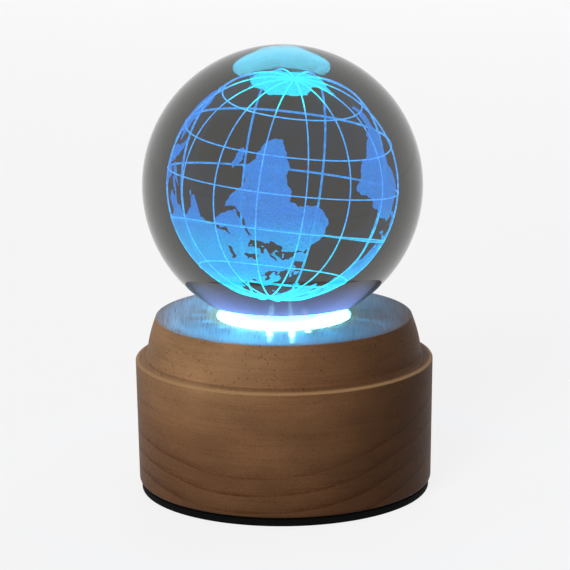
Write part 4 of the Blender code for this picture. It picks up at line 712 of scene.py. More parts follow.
def rough_coast(outline, draw):
    """An outline as unit vectors, with the small bays and capes between its points."""
    points = []
    for start, stop in zip(outline, outline[1:] + outline[:1]):
        first = globe_point(*start)
        last = globe_point(*stop)
        angle = math.degrees(first.angle(last))
        steps = max(1, round(angle / COAST_STEP))
        across = first.cross(last).normalized() if steps > 1 else Vector()
        points.append(first)
        for step in range(1, steps):
            middle = first.lerp(last, step / steps).normalized()
            offset = draw.uniform(-1, 1) * math.radians(COAST_ROUGHNESS)
            points.append((middle + across * offset).normalized())
    return points


COAST_STEP = 1.4
COAST_ROUGHNESS = 0.45
LAND_STEP = math.radians(3.0)
INSIDE_EDGES_ONLY = 1
SAME_POINT = 1e-7


def inside(point, loop):
    """Whether a flat point lies inside a flat loop."""
    found = False
    for start, stop in zip(loop, loop[1:] + loop[:1]):
        if (start.y > point.y) != (stop.y > point.y):
            if point.x < start.x + (point.y - start.y) / (stop.y - start.y) * (stop.x - start.x):
                found = not found
    return found


def land_points(loops):
    """The points of a landmass, its coasts first and then a grid inside, and the edges of its coasts."""
    points = []
    edges = []
    for loop in loops:
        first = len(points)
        points += loop
        edges += [(first + step, first + (step + 1) % len(loop)) for step in range(len(loop))]
    low = Vector((min(point.x for point in loops[0]), min(point.y for point in loops[0])))
    high = Vector((max(point.x for point in loops[0]), max(point.y for point in loops[0])))
    for row in range(int((high.y - low.y) / LAND_STEP)):
        for column in range(int((high.x - low.x) / LAND_STEP)):
            spot = low + Vector((column + row % 2 / 2, row)) * LAND_STEP
            if inside(spot, loops[0]):
                points.append(spot)
    return points, edges


def add_land(edit, outline, holes, place, draw):
    """Add one landmass as a thin closed layer on the globe."""
    coast = rough_coast(outline, draw)
    middle = sum(coast, Vector()).normalized()
    basis = middle.to_track_quat("Z", "Y").to_matrix()
    loops = [[flatten(point, basis) for point in coast]]
    loops += [[flatten(point, basis) for point in rough_coast(hole, draw)] for hole in holes]
    points, edges = land_points(loops)
    flats, _, faces, *_ = delaunay_2d_cdt(points, edges, [], INSIDE_EDGES_ONLY, SAME_POINT)
    kept = []
    for face in faces:
        centre = sum((flats[corner] for corner in face), Vector((0, 0))) / len(face)
        if not any(inside(centre, loop) for loop in loops[1:]):
            kept.append(face)
    used = sorted({corner for face in kept for corner in face})
    shells = []
    for side in (1, -1):
        spots = {corner: place(unflatten(flats[corner], basis), side) for corner in used}
        shells.append({corner: edit.verts.new(spot) for corner, spot in spots.items()})
    outer, inner = shells
    rim = {}
    for face in kept:
        edit.faces.new([outer[corner] for corner in face])
        edit.faces.new([inner[corner] for corner in reversed(face)])
        for start, stop in zip(face, face[1:] + face[:1]):
            rim[(start, stop)] = True
    for start, stop in rim:
        if (stop, start) not in rim:
            edit.faces.new([outer[stop], outer[start], inner[start], inner[stop]])


def add_ring(edit, centre, radius, axis, tube):
    """Add one engraved circle as a thin closed tube."""
    basis = axis.to_track_quat("Z", "Y").to_matrix()
    loops = []
    for step in range(RING_STEPS):
        turn = 2 * math.pi * step / RING_STEPS
        out = basis @ Vector((math.cos(turn), math.sin(turn), 0))
        loop = []
        for corner in range(TUBE_SIDES):
            angle = 2 * math.pi * corner / TUBE_SIDES
            offset = out * math.cos(angle) + basis.col[2] * math.sin(angle)
            loop.append(edit.verts.new(centre + out * radius + offset * tube))
        loops.append(loop)
    for first, second in zip(loops, loops[1:] + loops[:1]):
        skin(edit, first, second)


RING_STEPS = 120
TUBE_SIDES = 6


def build_globe(sizes, colours):
    """The globe engraved inside the ball: land, and the net of meridians and parallels."""
    centre, _ = box_size("crystal_ball")
    turn = globe_turn(sizes)
    draw = random.Random(COAST_SEED)

    def place(direction, side):
        return centre + (turn @ direction) * (sizes.globe_radius + side * sizes.land_thickness / 2)

    edit = bmesh.new()
    for outline in LANDMASSES:
        holes = INLAND_SEAS if outline is EUROPE_AND_ASIA else []
        add_land(edit, outline, holes, place, draw)
    frosted = frosted_crystal("crystal_laser_frosted", sizes, colours, LAND_LIGHT, LAND_ALPHA, LAND_GRAIN)
    finish_mesh("engraved_land", edit, frosted, "ball")

    edit = bmesh.new()
    north = turn.col[2].copy()
    tube = sizes.line_width / 2
    for number in range(sizes.meridians):
        across = math.pi * number / sizes.meridians
        axis = turn @ Vector((-math.sin(across), math.cos(across), 0))
        add_ring(edit, centre, sizes.globe_radius, axis, tube)
    for latitude in PARALLELS:
        up = math.radians(latitude)
        middle = centre + north * sizes.globe_radius * math.sin(up)
        add_ring(edit, middle, sizes.globe_radius * math.cos(up), north, tube)
    lines = frosted_crystal("crystal_laser_lines", sizes, colours, LINE_LIGHT, LINE_ALPHA, LINE_GRAIN)
    finish_mesh("engraved_net", edit, lines, "ball")


LAND_LIGHT = 4.9
LAND_ALPHA = 0.62
LAND_GRAIN = 0.25 * MM
LINE_LIGHT = 9.0
LINE_ALPHA = 1.0
LINE_GRAIN = 0.4 * MM


# Wooden base

def turned_beech(sizes, colours):
    """Steamed beech, turned across the grain and lacquered satin: growth rings as broad arcs at the front,
    short dark vessel lines along Y, silky fibres and faint turning marks round the sides. Its colour also
    holds
    painted light: a lit and shaded tone, palest high on the left and darkest low on the right, a painted
    highlight along the shoulder's edge, and on the top a painted glow and reflection of the window's light,
    with painted shade where the ball's skin mirrors it."""
    made, shader = new_material("beech_turned_satin_lacquer")
    place = add(made, "TexCoord", out="Object")
    rise = add(made, "SeparateXYZ", (place,), out="Z")
    shoulder_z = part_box("wood_base")[1].z - sizes.upper_tier_height
    fibre = varied(made, (-FIBRE_DEPTH, FIBRE_DEPTH), 0.22 * MM, stretch=(1, 40, 1), detail=3.0)
    turning = varied(made, TURNING_DEPTH, 0.3 * MM, stretch=(80, 80, 1))
    dark = add(made, "Math", (growth_rings(made, place), fibre), operation="ADD")
    dark = add(made, "Math", (dark, turning), operation="ADD", use_clamp=True)
    cloud = varied(made, CLOUD_TONES, 13 * MM, stretch=(1, 2, 0.6), detail=3.0)
    pore = vessel_lines(made, rise, shoulder_z)
    pore_shade = add(made, "Math", (pore, PORE_SHADE), operation="MULTIPLY")
    # Painted highlight along the shoulder's edge
    edge_highlight = painted_edge_highlight(made, rise, shoulder_z - sizes.shoulder_rise)
    far = seen_far(made)
    mirrored, glow = light_of_top(made, place, rise, far)
    # Painted shade: where the ball's skin mirrors the top, the wood is drawn darker, towards black
    dimming = add(made, "Math", (mirrored, SHEEN_DIMMING), operation="MULTIPLY")
    wood = wood_tone_and_shade(made, place, colours)
    layers = ((dark, opaque(colours.wood_ring), "MULTIPLY"), (1.0, cloud, "MULTIPLY"),
              (pore_shade, opaque(colours.wood_pore), "MIX"), (edge_highlight, opaque(colours.wood_edge_highlight), "MIX"),
              (dimming, opaque(linear("#000000")), "MIX"))
    for share, tint, mode in layers:
        wood = add(made, "Mix", {0: share, 6: wood, 7: tint}, out=2, data_type="RGBA", blend_type=mode)
    shine = add(made, "Mix", {0: far, 6: sheen_tint(made, place, sizes, colours), 7: opaque(colours.opal)},
                out=2, data_type="RGBA")
    # These lights only show, so the renderer sends no light out from them.
    made.cycles.emission_sampling = "NONE"

    relief = add(made, "Math", (turning, pore), operation="SUBTRACT")
    relief = add(made, "Bump", {"Strength": 0.35, "Distance": 0.05 * MM, "Height": relief})
    roughness = add(made, "MapRange", (fibre, -FIBRE_DEPTH, FIBRE_DEPTH, *LACQUER_ROUGHNESS))
    plug(shader, made, {"Base Color": wood, "Roughness": roughness, "IOR": 1.5, "Specular IOR Level": 0.07,
                        "Normal": relief, "Emission Color": shine, "Emission Strength": glow})
    return made


def growth_rings(owner, place):
    """How much the growth rings darken the wood. They fade towards the pith, and in patches."""
    warp = pattern(owner, 22 * MM, detail=1.0, out=1)
    warp = add(owner, "VectorMath", (warp, (-0.5, -0.5, -0.5)), operation="ADD")
    warp = add(owner, "VectorMath", {0: warp, "Scale": WOOD_WARP}, operation="SCALE")
    warped = add(owner, "VectorMath", (place, warp), operation="ADD")
    from_pith = add(owner, "Mapping", {"Vector": warped, "Location": (-PITH_X, 0, -PITH_Z),
                                       "Rotation": (PITH_LEAN, 0, 0)})
    ring = add(owner, "TexWave", {"Vector": from_pith, "Scale": WAVE_SCALE / RING_SPACING, "Distortion": 0.0,
                                  "Phase Offset": RING_PHASE},
               wave_type="RINGS", rings_direction="Y", wave_profile="SAW")
    late = add(owner, "ValToRGB", (ring,), stops=greys(LATE_WOOD))
    away = distance(owner, from_pith, (1.0, 0.0, 1.0))
    shown = add(owner, "MapRange", (away, RINGS_FAINT, RINGS_CLEAR, *RINGS_SHOWN))
    fading = varied(owner, RING_FADING, 12 * MM, RING_PATCHES, stretch=(1, 3, 0.7), detail=1.0)
    shown = add(owner, "Math", (shown, fading), operation="MULTIPLY")
    return add(owner, "Math", (late, shown), operation="MULTIPLY")


def wood_tone_and_shade(owner, place, colours):
    """The wood's colour without its figure, with painted light and shade in it: palest high on the left,
    where the light falls, and darker away from there.
    """
    from_lit_spot = add(owner, "Mapping", {"Vector": place, "Location": (-PALEST_LIT_X, 0, -PALEST_LIT_Z)})
    share = add(owner, "MapRange", (distance(owner, from_lit_spot, (1.0, 0.0, 1.0)), LIT_TONE_NEAR, LIT_TONE_FAR))
    return add(owner, "ValToRGB", (share,),
               stops=[(0.0, colours.wood_painted_lit), (0.35, colours.wood_middle), (1.0, colours.wood_painted_shade)])


def vessel_lines(owner, rise, shoulder_z):
    """Short dark lines of cut vessels, in patches and mostly on the upper tier. They are drawn about twice
    their real width, so that they show."""
    cells = pattern(owner, PORE_SIZE, PORE_STRETCH, kind="TexVoronoi", out="Distance")
    pore = add(owner, "MapRange", (cells, *PORE_EDGE, 1.0, 0.0))
    chosen = pattern(owner, PORE_SIZE, PORE_STRETCH, kind="TexVoronoi", out="Color")
    chosen = add(owner, "SeparateColor", (chosen,), out="Red")
    chosen = add(owner, "Math", (chosen, PORES_LEFT_OUT), operation="GREATER_THAN")
    above = add(owner, "MapRange", (rise, shoulder_z - 1 * MM, shoulder_z, PORES_BELOW, 1.0))
    patches = varied(owner, (0.0, 1.0), 9 * MM, PORE_PATCHES, detail=1.0)
    for share in (chosen, above, patches):
        pore = add(owner, "Math", (pore, share), operation="MULTIPLY")
    return pore


def painted_edge_highlight(owner, rise, edge_z):
    """A painted highlight: the pale band round the shoulder's edge."""
    away = add(owner, "Math", (rise, edge_z), operation="SUBTRACT")
    away = add(owner, "Math", (away,), operation="ABSOLUTE")
    return add(owner, "MapRange", (away, *EDGE_HIGHLIGHT_BAND, EDGE_HIGHLIGHT_SHARE, 0.0))


def light_of_top(owner, place, rise, far):
    """Where the ball's skin mirrors the front of the wood's top, and the light painted on the top there and
    by way of the ball's inside: a painted reflection and glow that the wood gives out itself."""
    top = add(owner, "Math", (rise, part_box("wood_base")[1].z - TOP_SKIN), operation="GREATER_THAN")
    mirrored = seen_mirrored(owner)
    for share in (top, front_half(owner, place)):
        mirrored = add(owner, "Math", (mirrored, share), operation="MULTIPLY")
    glow = far
    for share in (WOOD_FAR_LIGHT, top):
        glow = add(owner, "Math", (glow, share), operation="MULTIPLY")
    return mirrored, add(owner, "Math", (mirrored, SHEEN_LIGHT, glow), operation="MULTIPLY_ADD")


def seen_mirrored(owner):
    """1 where a surface is seen as the ball's skin mirrors it."""
    depth = add(owner, "LightPath", out="Ray Depth")
    first = add(owner, "Math", (depth, MIRRORED_DEPTH), operation="LESS_THAN")
    return add(owner, "Math", (first, add(owner, "LightPath", out="Is Glossy Ray")), operation="MULTIPLY")


def front_half(owner, place):
    """1 at the front, falling to 0 in the middle."""
    along = add(owner, "SeparateXYZ", (place,), out="Y")
    return add(owner, "MapRange", (along, SHEEN_FULL_Y, SHEEN_END_Y, 1.0, 0.0))


def sheen_tint(owner, place, sizes, colours):
    """The light of the wood's top in the ball's skin: blue beside the window, and as pale as the floor at the
    rim. It is chosen, and stands for the blue haze that the photo shows over the window."""
    away = distance(owner, place, (1.0, 1.0, 0.0))
    share = add(owner, "MapRange", (away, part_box("light_window")[1].x, sizes.top_radius))
    return add(owner, "Mix", {0: share, 6: opaque(colours.sheen), 7: opaque(linear(SHEEN_RIM))}, out=2,
               data_type="RGBA")


def seen_far(owner):
    """1 where a surface is seen by way of a reflection inside the ball, so through its smoke twice. What
    shines there gets back part of what the smoke takes, because real crystal takes nothing."""
    far = add(owner, "LightPath", out="Ray Depth")
    far = add(owner, "Math", (far, FAR_DEPTH), operation="GREATER_THAN")
    straight = add(owner, "LightPath", out="Diffuse Depth")
    straight = add(owner, "Math", (straight, STRAIGHT_DEPTH), operation="LESS_THAN")
    for share in (add(owner, "LightPath", out="Is Transmission Ray"), straight):
        far = add(owner, "Math", (far, share), operation="MULTIPLY")
    return far


# Light paths: bounces that a ray makes, halfway between two counts
MIRRORED_DEPTH = 1.5
FAR_DEPTH = 2.5
STRAIGHT_DEPTH = 0.5
# How deep below its highest point a point of the wood still counts as its top face
TOP_SKIN = 0.1 * MM
WOOD_FAR_LIGHT = 440.0
SHEEN_LIGHT = 4.4
SHEEN_FULL_Y = -12 * MM
SHEEN_END_Y = 1 * MM
SHEEN_RIM = "#797979"
SHEEN_DIMMING = 0.6
# Where the painted light makes the wood palest, seen from the front, and where its painted shade starts and
# ends
PALEST_LIT_X = -22 * MM
PALEST_LIT_Z = 45 * MM
LIT_TONE_NEAR = 14 * MM
LIT_TONE_FAR = 54 * MM
CLOUD_TONES = (0.76, 1.10)
FIBRE_DEPTH = 0.35
TURNING_DEPTH = (-0.12, 0.22)
LACQUER_ROUGHNESS = (0.46, 0.58)
# Growth rings round the pith. A wave texture of scale 1 repeats every 20 / (2 pi) units.
WOOD_WARP = 1.6 * MM
PITH_X = -6 * MM
PITH_Z = 70 * MM
PITH_LEAN = math.radians(4.0)
WAVE_SCALE = 2 * math.pi / 20
RING_SPACING = 3.7 * MM
RING_PHASE = 1.36
LATE_WOOD = ((0.0, 0.35), (0.08, 0.0), (0.55, 0.08), (0.90, 0.55), (1.0, 1.0))
RINGS_FAINT = 58 * MM
RINGS_CLEAR = 61.5 * MM
RINGS_SHOWN = (0.14, 0.85)
RING_PATCHES = (0.35, 0.6)
RING_FADING = (0.35, 1.0)
PORE_SIZE = 0.6 * MM
PORE_STRETCH = (1, 18, 2.2)
PORE_EDGE = (0.10, 0.24)
PORES_LEFT_OUT = 0.2
PORES_BELOW = 0.15
PORE_PATCHES = (0.36, 0.52)
PORE_SHADE = 0.7
# Width and strength of the painted highlight along the shoulder's edge
EDGE_HIGHLIGHT_BAND = (0.1 * MM, 0.35 * MM)
EDGE_HIGHLIGHT_SHARE = 0.7
WOOD_SEGMENTS = 240
ROUND_STEPS = 6
BELLY_STEPS = 12
OVERRUN = 1 * MM


def upper_tier(sizes):
    """From the edge of the top face down to the end of the cove."""
    start_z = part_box("wood_base")[1].z - sizes.edge_round
    end_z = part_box("wood_base")[1].z - sizes.upper_tier_height + sizes.cove
    points = arc(sizes.top_radius - sizes.edge_round, start_z, sizes.edge_round, 90.0, 0.0, ROUND_STEPS)
    for step in range(1, BELLY_STEPS + 1):
        share = step / BELLY_STEPS
        radius = sizes.top_radius + (sizes.upper_foot_radius - sizes.top_radius) * share
        points.append((radius + 4 * share * (1 - share) * sizes.belly, start_z + (end_z - start_z) * share))
    return points + arc(sizes.upper_foot_radius + sizes.cove, end_z, sizes.cove, 180.0, 270.0,
                        ROUND_STEPS)[1:]


def lower_tier(sizes):
    """From the cove over the domed shoulder and down to the foot."""
    low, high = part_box("wood_base")
    shoulder_top_z = high.z - sizes.upper_tier_height
    start_radius = sizes.upper_foot_radius + sizes.cove
    end_radius = high.x - sizes.edge_round
    points = []
    for step in range(1, BELLY_STEPS + 1):
        share = step / BELLY_STEPS
        points.append((start_radius + (end_radius - start_radius) * share,
                       shoulder_top_z - sizes.shoulder_rise * share ** 2))
    edge_z = shoulder_top_z - sizes.shoulder_rise - sizes.edge_round
    points += arc(end_radius, edge_z, sizes.edge_round, 90.0, 0.0, ROUND_STEPS)[1:]
    foot = sizes.foot_round
    return points + arc(sizes.wood_foot_radius - foot, low.z + foot, foot, 0.0, -90.0, ROUND_STEPS)


def bores(sizes):
    """The cover's rabbet, the cavity, the shaft of the light and the window's pocket, from the foot up."""
    low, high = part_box("wood_base")
    window_low, window_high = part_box("light_window")
    cover_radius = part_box("bottom_cover")[1].x + sizes.clearance
    rabbet_z = low.z + sizes.cover_thickness + sizes.clearance
    roof_z = high.z - sizes.crown
    floor_z = window_low.z - sizes.clearance
    shaft_radius = window_high.x - sizes.ledge
    pocket_radius = window_high.x + sizes.clearance
    return [(cover_radius, low.z), (cover_radius, rabbet_z), (sizes.cavity_radius, rabbet_z),
            (sizes.cavity_radius, roof_z), (shaft_radius, roof_z), (shaft_radius, floor_z),
            (pocket_radius, floor_z), (pocket_radius, high.z)]


def build_base(sizes, colours):
    """The turned base, milled at the back for the plate."""
    outline = upper_tier(sizes) + lower_tier(sizes) + bores(sizes)
    base = finish_mesh("base_turned", lathe(outline, WOOD_SEGMENTS, closed=True),
                       turned_beech(sizes, colours), "base", ["wood_base"])
    middle, size = box_size("rear_plate")
    _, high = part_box("rear_plate")
    gap = sizes.clearance
    recess_floor = high.y - PLATE_THICKNESS - gap
    recess = rounded_loop(size.x + 2 * gap, size.z + 2 * gap, PLATE_CORNER + gap)
    bore(base, recess, middle, (recess_floor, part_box("wood_base")[1].y + OVERRUN))
    opening = rounded_loop(SPIGOT_WIDTH + 2 * gap, SPIGOT_HEIGHT + 2 * gap, SPIGOT_CORNER + gap)
    bore(base, opening, middle, (sizes.cavity_radius - SPIGOT_REACH, recess_floor + OVERRUN))


# How far inside the cavity's wall the cut for the spigot starts
SPIGOT_REACH = 4 * MM
PLATE_THICKNESS = 2.0 * MM
PLATE_CORNER = 2.0 * MM
SPIGOT_WIDTH = 20.0 * MM
SPIGOT_HEIGHT = 8.4 * MM
SPIGOT_CORNER = 1.0 * MM


# Window and pad

def opal_acrylic(colours):
    """Opal acrylic, moulded and sanded satin: an even glow with a faint mottle. Light that goes through the
    smoky ball more than once gets back part of what the smoke takes."""
    made, shader = new_material("opal_acrylic_satin")
    light = varied(made, (0.9 * WINDOW_LIGHT, 1.1 * WINDOW_LIGHT), 3 * MM, detail=1.0)
    gain = add(made, "Math", (seen_far(made), SMOKE_GAIN - 1, 1.0), operation="MULTIPLY_ADD")
    light = add(made, "Math", (light, gain), operation="MULTIPLY")
    plug(shader, made, {"Base Color": opaque(linear("#E9F4F6")), "Roughness": 0.4, "IOR": 1.49,
                        "Emission Color": opaque(colours.opal), "Emission Strength": light})
    return made


WINDOW_LIGHT = 45.0
SMOKE_GAIN = 7.5
WINDOW_BEVEL = 0.2 * MM
DISH_STEPS = 24


def build_window(sizes, colours):
    """The opal window with the dish that the ball sits in."""
    low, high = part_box("light_window")
    centre, size = box_size("crystal_ball")
    dish_radius = size.z / 2 + sizes.clearance
    edge = -math.degrees(math.acos(sizes.seat_radius / dish_radius))
    outline = arc(0, centre.z, dish_radius, -90.0, edge, DISH_STEPS)
    outline[0] = (0, centre.z - dish_radius)
    outline += arc(high.x - WINDOW_BEVEL, high.z - WINDOW_BEVEL, WINDOW_BEVEL, 90.0, 0.0, ROUND_STEPS)
    outline += [(high.x, low.z), (0, low.z)]
    finish_mesh("window_opal", lathe(outline, WOOD_SEGMENTS), opal_acrylic(colours), "base",
                ["light_window"])


def die_cut_foam(colours):
    """Rubber foam, die-cut: dead matt black with fine open cells, whose hollows are drawn darker as painted
    shade.
    """
    made, shader = new_material("rubber_foam_die_cut")
    cells = pattern(made, 0.35 * MM, kind="TexVoronoi", out="Distance")
    tone = add(made, "Mix", {0: cells, 6: opaque(linear(FOAM_CELL_SHADE)), 7: opaque(colours.foam)}, out=2,
               data_type="RGBA")
    relief = add(made, "Bump", {"Strength": 0.6, "Distance": 0.08 * MM, "Height": cells})
    plug(shader, made, {"Base Color": tone, "Roughness": 0.92, "Specular IOR Level": 0.1, "Normal": relief})
    return made


def build_pad(colours):
    """The anti-slip pad, with its cut edge a little rounded."""
    low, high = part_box("foot_pad")
    bevel = PAD_BEVEL
    outline = [(0, low.z)] + arc(high.x - bevel, low.z + bevel, bevel, -90.0, 0.0, ROUND_STEPS)
    outline += arc(high.x - bevel, high.z - bevel, bevel, 0.0, 90.0, ROUND_STEPS) + [(0, high.z)]
    finish_mesh("pad_foam", lathe(outline, WOOD_SEGMENTS), die_cut_foam(colours), "base",
                ["foot_pad"])


PAD_BEVEL = 0.25 * MM
# Colour of the painted shade in the foam's cell hollows
FOAM_CELL_SHADE = "#070707"


# Back: plate, button and port

def grained(made, grain, tint, grain_shade):
    """The colour of a grained surface, whose hollows are drawn darker: painted shade."""
    return add(made, "Mix", {0: grain, 6: opaque(tint), 7: opaque(darker(tint, grain_shade))}, out=2,
               data_type="RGBA")


def moulded_plastic(name, tint, roughness, size):
    """Injection-moulded plastic from a spark-eroded tool: an even fine grain."""
    made, shader = new_material(name)
    grain = pattern(made, size)
    rough = add(made, "MapRange", (grain, 0.0, 1.0, roughness - PLASTIC_SPREAD, roughness + PLASTIC_SPREAD))
    relief = add(made, "Bump", {"Strength": 0.4, "Distance": size / 8, "Height": grain})
    plug(shader, made, {"Base Color": grained(made, grain, tint, PLASTIC_GRAIN_SHADE), "Roughness": rough,
                        "IOR": 1.54, "Normal": relief})
    return made


def plated_metal(name, tint, roughness, size):
    """Metal with a thin bright plating: soft drawing lines along X and a little haze."""
    made, shader = new_material(name)
    lines = pattern(made, size, (12, 1, 1), detail=3.0)
    rough = add(made, "MapRange", (lines, 0.0, 1.0, roughness - METAL_BRIGHTER, roughness + METAL_HAZIER))
    relief = add(made, "Bump", {"Strength": 0.2, "Distance": size / 10, "Height": lines})
    plug(shader, made, {"Base Color": grained(made, lines, tint, METAL_GRAIN_SHADE), "Metallic": 1.0,
                        "Roughness": rough, "Normal": relief})
    return made


# What the painted shade in a grain's hollows leaves of the colour, and how far its roughness goes to each
# side
PLASTIC_GRAIN_SHADE = 0.8
PLASTIC_SPREAD = 0.06
METAL_GRAIN_SHADE = 0.88
METAL_BRIGHTER = 0.08
METAL_HAZIER = 0.12


def build_plate(sizes, colours):
    """The rear plate with its spigot, the slot of the port and the button's hole."""
    middle, size = box_size("rear_plate")
    low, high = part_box("rear_plate")
    bevel = PLATE_BEVEL
    sections = []
    for step in range(ROUND_STEPS + 1):
        angle = math.pi / 2 * step / ROUND_STEPS
        inset = bevel * (1 - math.sin(angle))
        loop = rounded_loop(size.x - 2 * inset, size.z - 2 * inset, PLATE_CORNER - inset)
        sections.append(across_y(loop, middle.x, high.y - bevel * (1 - math.cos(angle)), middle.z))
    plate_loop = rounded_loop(size.x, size.z, PLATE_CORNER)
    spigot_loop = rounded_loop(SPIGOT_WIDTH, SPIGOT_HEIGHT, SPIGOT_CORNER)
    sections.append(across_y(plate_loop, middle.x, high.y - PLATE_THICKNESS, middle.z))
    sections.append(across_y(spigot_loop, middle.x, high.y - PLATE_THICKNESS, middle.z))
    sections.append(across_y(spigot_loop, middle.x, low.y, middle.z))
    plastic = moulded_plastic("abs_spark_eroded_black", colours.plastic, 0.5, 0.18 * MM)
    plate = finish_mesh("plate_moulded", loft(sections), plastic, "base", ["rear_plate"])
    ends = (low.y - OVERRUN, high.y + OVERRUN)
    port_middle, port_size = box_size("port_shell")
    gap = sizes.clearance
    slot = rounded_loop(port_size.x + 2 * gap, port_size.z + 2 * gap, SHELL_CORNER + gap)
    bore(plate, slot, port_middle, ends)
    button_middle, _ = box_size("button_cap")
    hole = arc(0, 0, BUTTON_RADIUS + gap, 0.0, 360.0, TURN_STEPS)[:-1]
    bore(plate, hole, button_middle, ends)


def build_button(colours):
    """The button, with its round edge, its shallow finger dish and its flange behind the plate."""
    low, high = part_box("button_cap")
    middle, size = box_size("button_cap")
    flange_radius = size.x / 2
    rim = BUTTON_ROUND
    face = high.y
    profile = [(0, face - BUTTON_DISH)]
    for step in range(1, BUTTON_DISH_STEPS + 1):
        share = step / BUTTON_DISH_STEPS
        profile.append((BUTTON_DISH_RADIUS * share, face - BUTTON_DISH * (1 - share ** 2)))
    profile += arc(BUTTON_RADIUS - rim, face - rim, rim, 90.0, 0.0, ROUND_STEPS)
    profile += [(BUTTON_RADIUS, low.y + BUTTON_FLANGE), (flange_radius, low.y + BUTTON_FLANGE),
                (flange_radius, low.y), (0, low.y)]
    edit = lathe(profile, TURN_STEPS)
    for vertex in edit.verts:
        vertex.co = (middle.x + vertex.co.x, vertex.co.z, middle.z - vertex.co.y)
    plastic = moulded_plastic("abs_moulded_satin_button", colours.plastic, 0.38, 0.12 * MM)
    finish_mesh("button_moulded", edit, plastic, "button", ["button_cap"])


def build_port():
    """The port: its stamped shell with a rolled lip, and the contacts on its tongue."""
    middle, size = box_size("port_shell")
    low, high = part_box("port_shell")
    wall = SHELL_WALL
    sections = []
    for inset, y in ((0, low.y), (0, high.y - wall / 2), (wall / 4, high.y), (3 * wall / 4, high.y),
                     (wall, high.y - wall / 2), (wall, low.y)):
        loop = rounded_loop(size.x - 2 * inset, size.z - 2 * inset, SHELL_CORNER - inset)
        sections.append(across_y(loop, middle.x, y, middle.z))
    steel = plated_metal("steel_stamped_nickel_plated", linear("#C9C7C2"), 0.28, 0.2 * MM)
    finish_mesh("port_shell_stamped", loft(sections, closed=True), steel, "base",
                ["port_shell"])
    build_contacts(middle)


def build_contacts(middle):
    """The contacts on both faces of the port's tongue."""
    _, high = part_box("port_tongue")
    contact = bmesh.new()
    for side in (1, -1):
        for number in range(CONTACT_COUNT):
            x = middle.x + (number - (CONTACT_COUNT - 1) / 2) * CONTACT_PITCH
            z = middle.z + side * (TONGUE_THICKNESS / 2 + CONTACT_PROUD / 2)
            y = high.y - CONTACT_SETBACK - CONTACT_LENGTH / 2
            made = bmesh.ops.create_cube(contact, size=1.0)["verts"]
            bmesh.ops.scale(contact, vec=(CONTACT_WIDTH, CONTACT_LENGTH, CONTACT_PROUD), verts=made)
            bmesh.ops.translate(contact, vec=(x, y, z), verts=made)
    bronze = plated_metal("bronze_contacts_gold_plated", linear("#D9A85A"), 0.3, 0.1 * MM)
    finish_mesh("port_contacts", contact, bronze, "base")


SHELL_WALL = 0.3 * MM
SHELL_CORNER = 1.2 * MM
PLATE_BEVEL = 0.3 * MM
BUTTON_RADIUS = 2.5 * MM
BUTTON_ROUND = 0.4 * MM
BUTTON_DISH = 0.15 * MM
BUTTON_DISH_RADIUS = 1.9 * MM
BUTTON_DISH_STEPS = 8
BUTTON_FLANGE = 0.8 * MM
TONGUE_THICKNESS = 0.7 * MM
CONTACT_COUNT = 10
CONTACT_PITCH = 0.5 * MM
CONTACT_WIDTH = 0.26 * MM
CONTACT_LENGTH = 2.6 * MM
CONTACT_SETBACK = 0.4 * MM
CONTACT_PROUD = 0.04 * MM


# Finishes of the pieces inside

def finish_inside():
    """Give each solid that stays as it is the finish of its own slot."""
    slots = {part["node"]: part["material_slot"] for part in frame["record"]["subparts"]}
    finishes = {}
    for node, piece in frame["nodes"].items():
        if piece.hide_render:
            continue
        slot = slots[node]
        if slot not in finishes:
            finishes[slot] = inside_finish(slot)
        piece.data.materials.clear()
        piece.data.materials.append(finishes[slot])


def inside_finish(slot):
    """The finish that goes with a material slot."""
    name, tint, roughness, grain, make = INSIDE[slot]
    return make(name, linear(tint), roughness, grain * MM)


# Slot: material, colour, roughness, grain in millimetres and how it is made
INSIDE = {
    "white_abs": ("abs_moulded_white", "#E8E8E4", 0.40, 0.20, moulded_plastic),
    "light_board": ("glass_epoxy_white_mask", "#DDDFDB", 0.42, 0.60, moulded_plastic),
    "led_body": ("silicone_phosphor_yellow", "#E3D08A", 0.45, 0.15, moulded_plastic),
    "chip_epoxy": ("epoxy_moulded_black", "#1B1B1D", 0.55, 0.12, moulded_plastic),
    "zinc_steel": ("steel_zinc_plated", "#B9BBBC", 0.32, 0.20, plated_metal),
    "black_abs": ("abs_moulded_black", "#17181A", 0.50, 0.25, moulded_plastic),
    "grey_foam": ("polyurethane_foam_grey", "#5B5D5F", 0.90, 0.40, moulded_plastic),
    "pouch_foil": ("aluminium_laminate_pressed", "#A9ACAF", 0.38, 1.20, plated_metal),
    "circuit_board": ("glass_epoxy_green_mask", "#1C5A36", 0.40, 0.60, moulded_plastic),
    "ferrite": ("ferrite_pressed", "#3A3B3D", 0.62, 0.10, moulded_plastic),
    "capacitor_can": ("aluminium_drawn_can", "#B4B6B8", 0.35, 0.30, plated_metal),
    "connector_nylon": ("nylon_moulded_natural", "#DAD6C6", 0.50, 0.20, moulded_plastic),
    "port_polymer": ("liquid_crystal_polymer_black", "#151515", 0.45, 0.10, moulded_plastic),
    "button_abs": ("nylon_moulded_plunger", "#8C8B86", 0.50, 0.15, moulded_plastic),
    "white_pvc": ("pvc_extruded_white", "#DEDDD8", 0.45, 0.25, moulded_plastic),
    "red_pvc": ("pvc_extruded_red", "#A51C1C", 0.45, 0.25, moulded_plastic),
    "green_pvc": ("pvc_extruded_green", "#1E7A3A", 0.45, 0.25, moulded_plastic),
    "blue_pvc": ("pvc_extruded_blue", "#1F4FA8", 0.45, 0.25, moulded_plastic),
    "black_pvc": ("pvc_extruded_black", "#1A1A1A", 0.45, 0.25, moulded_plastic),
}


# Operators

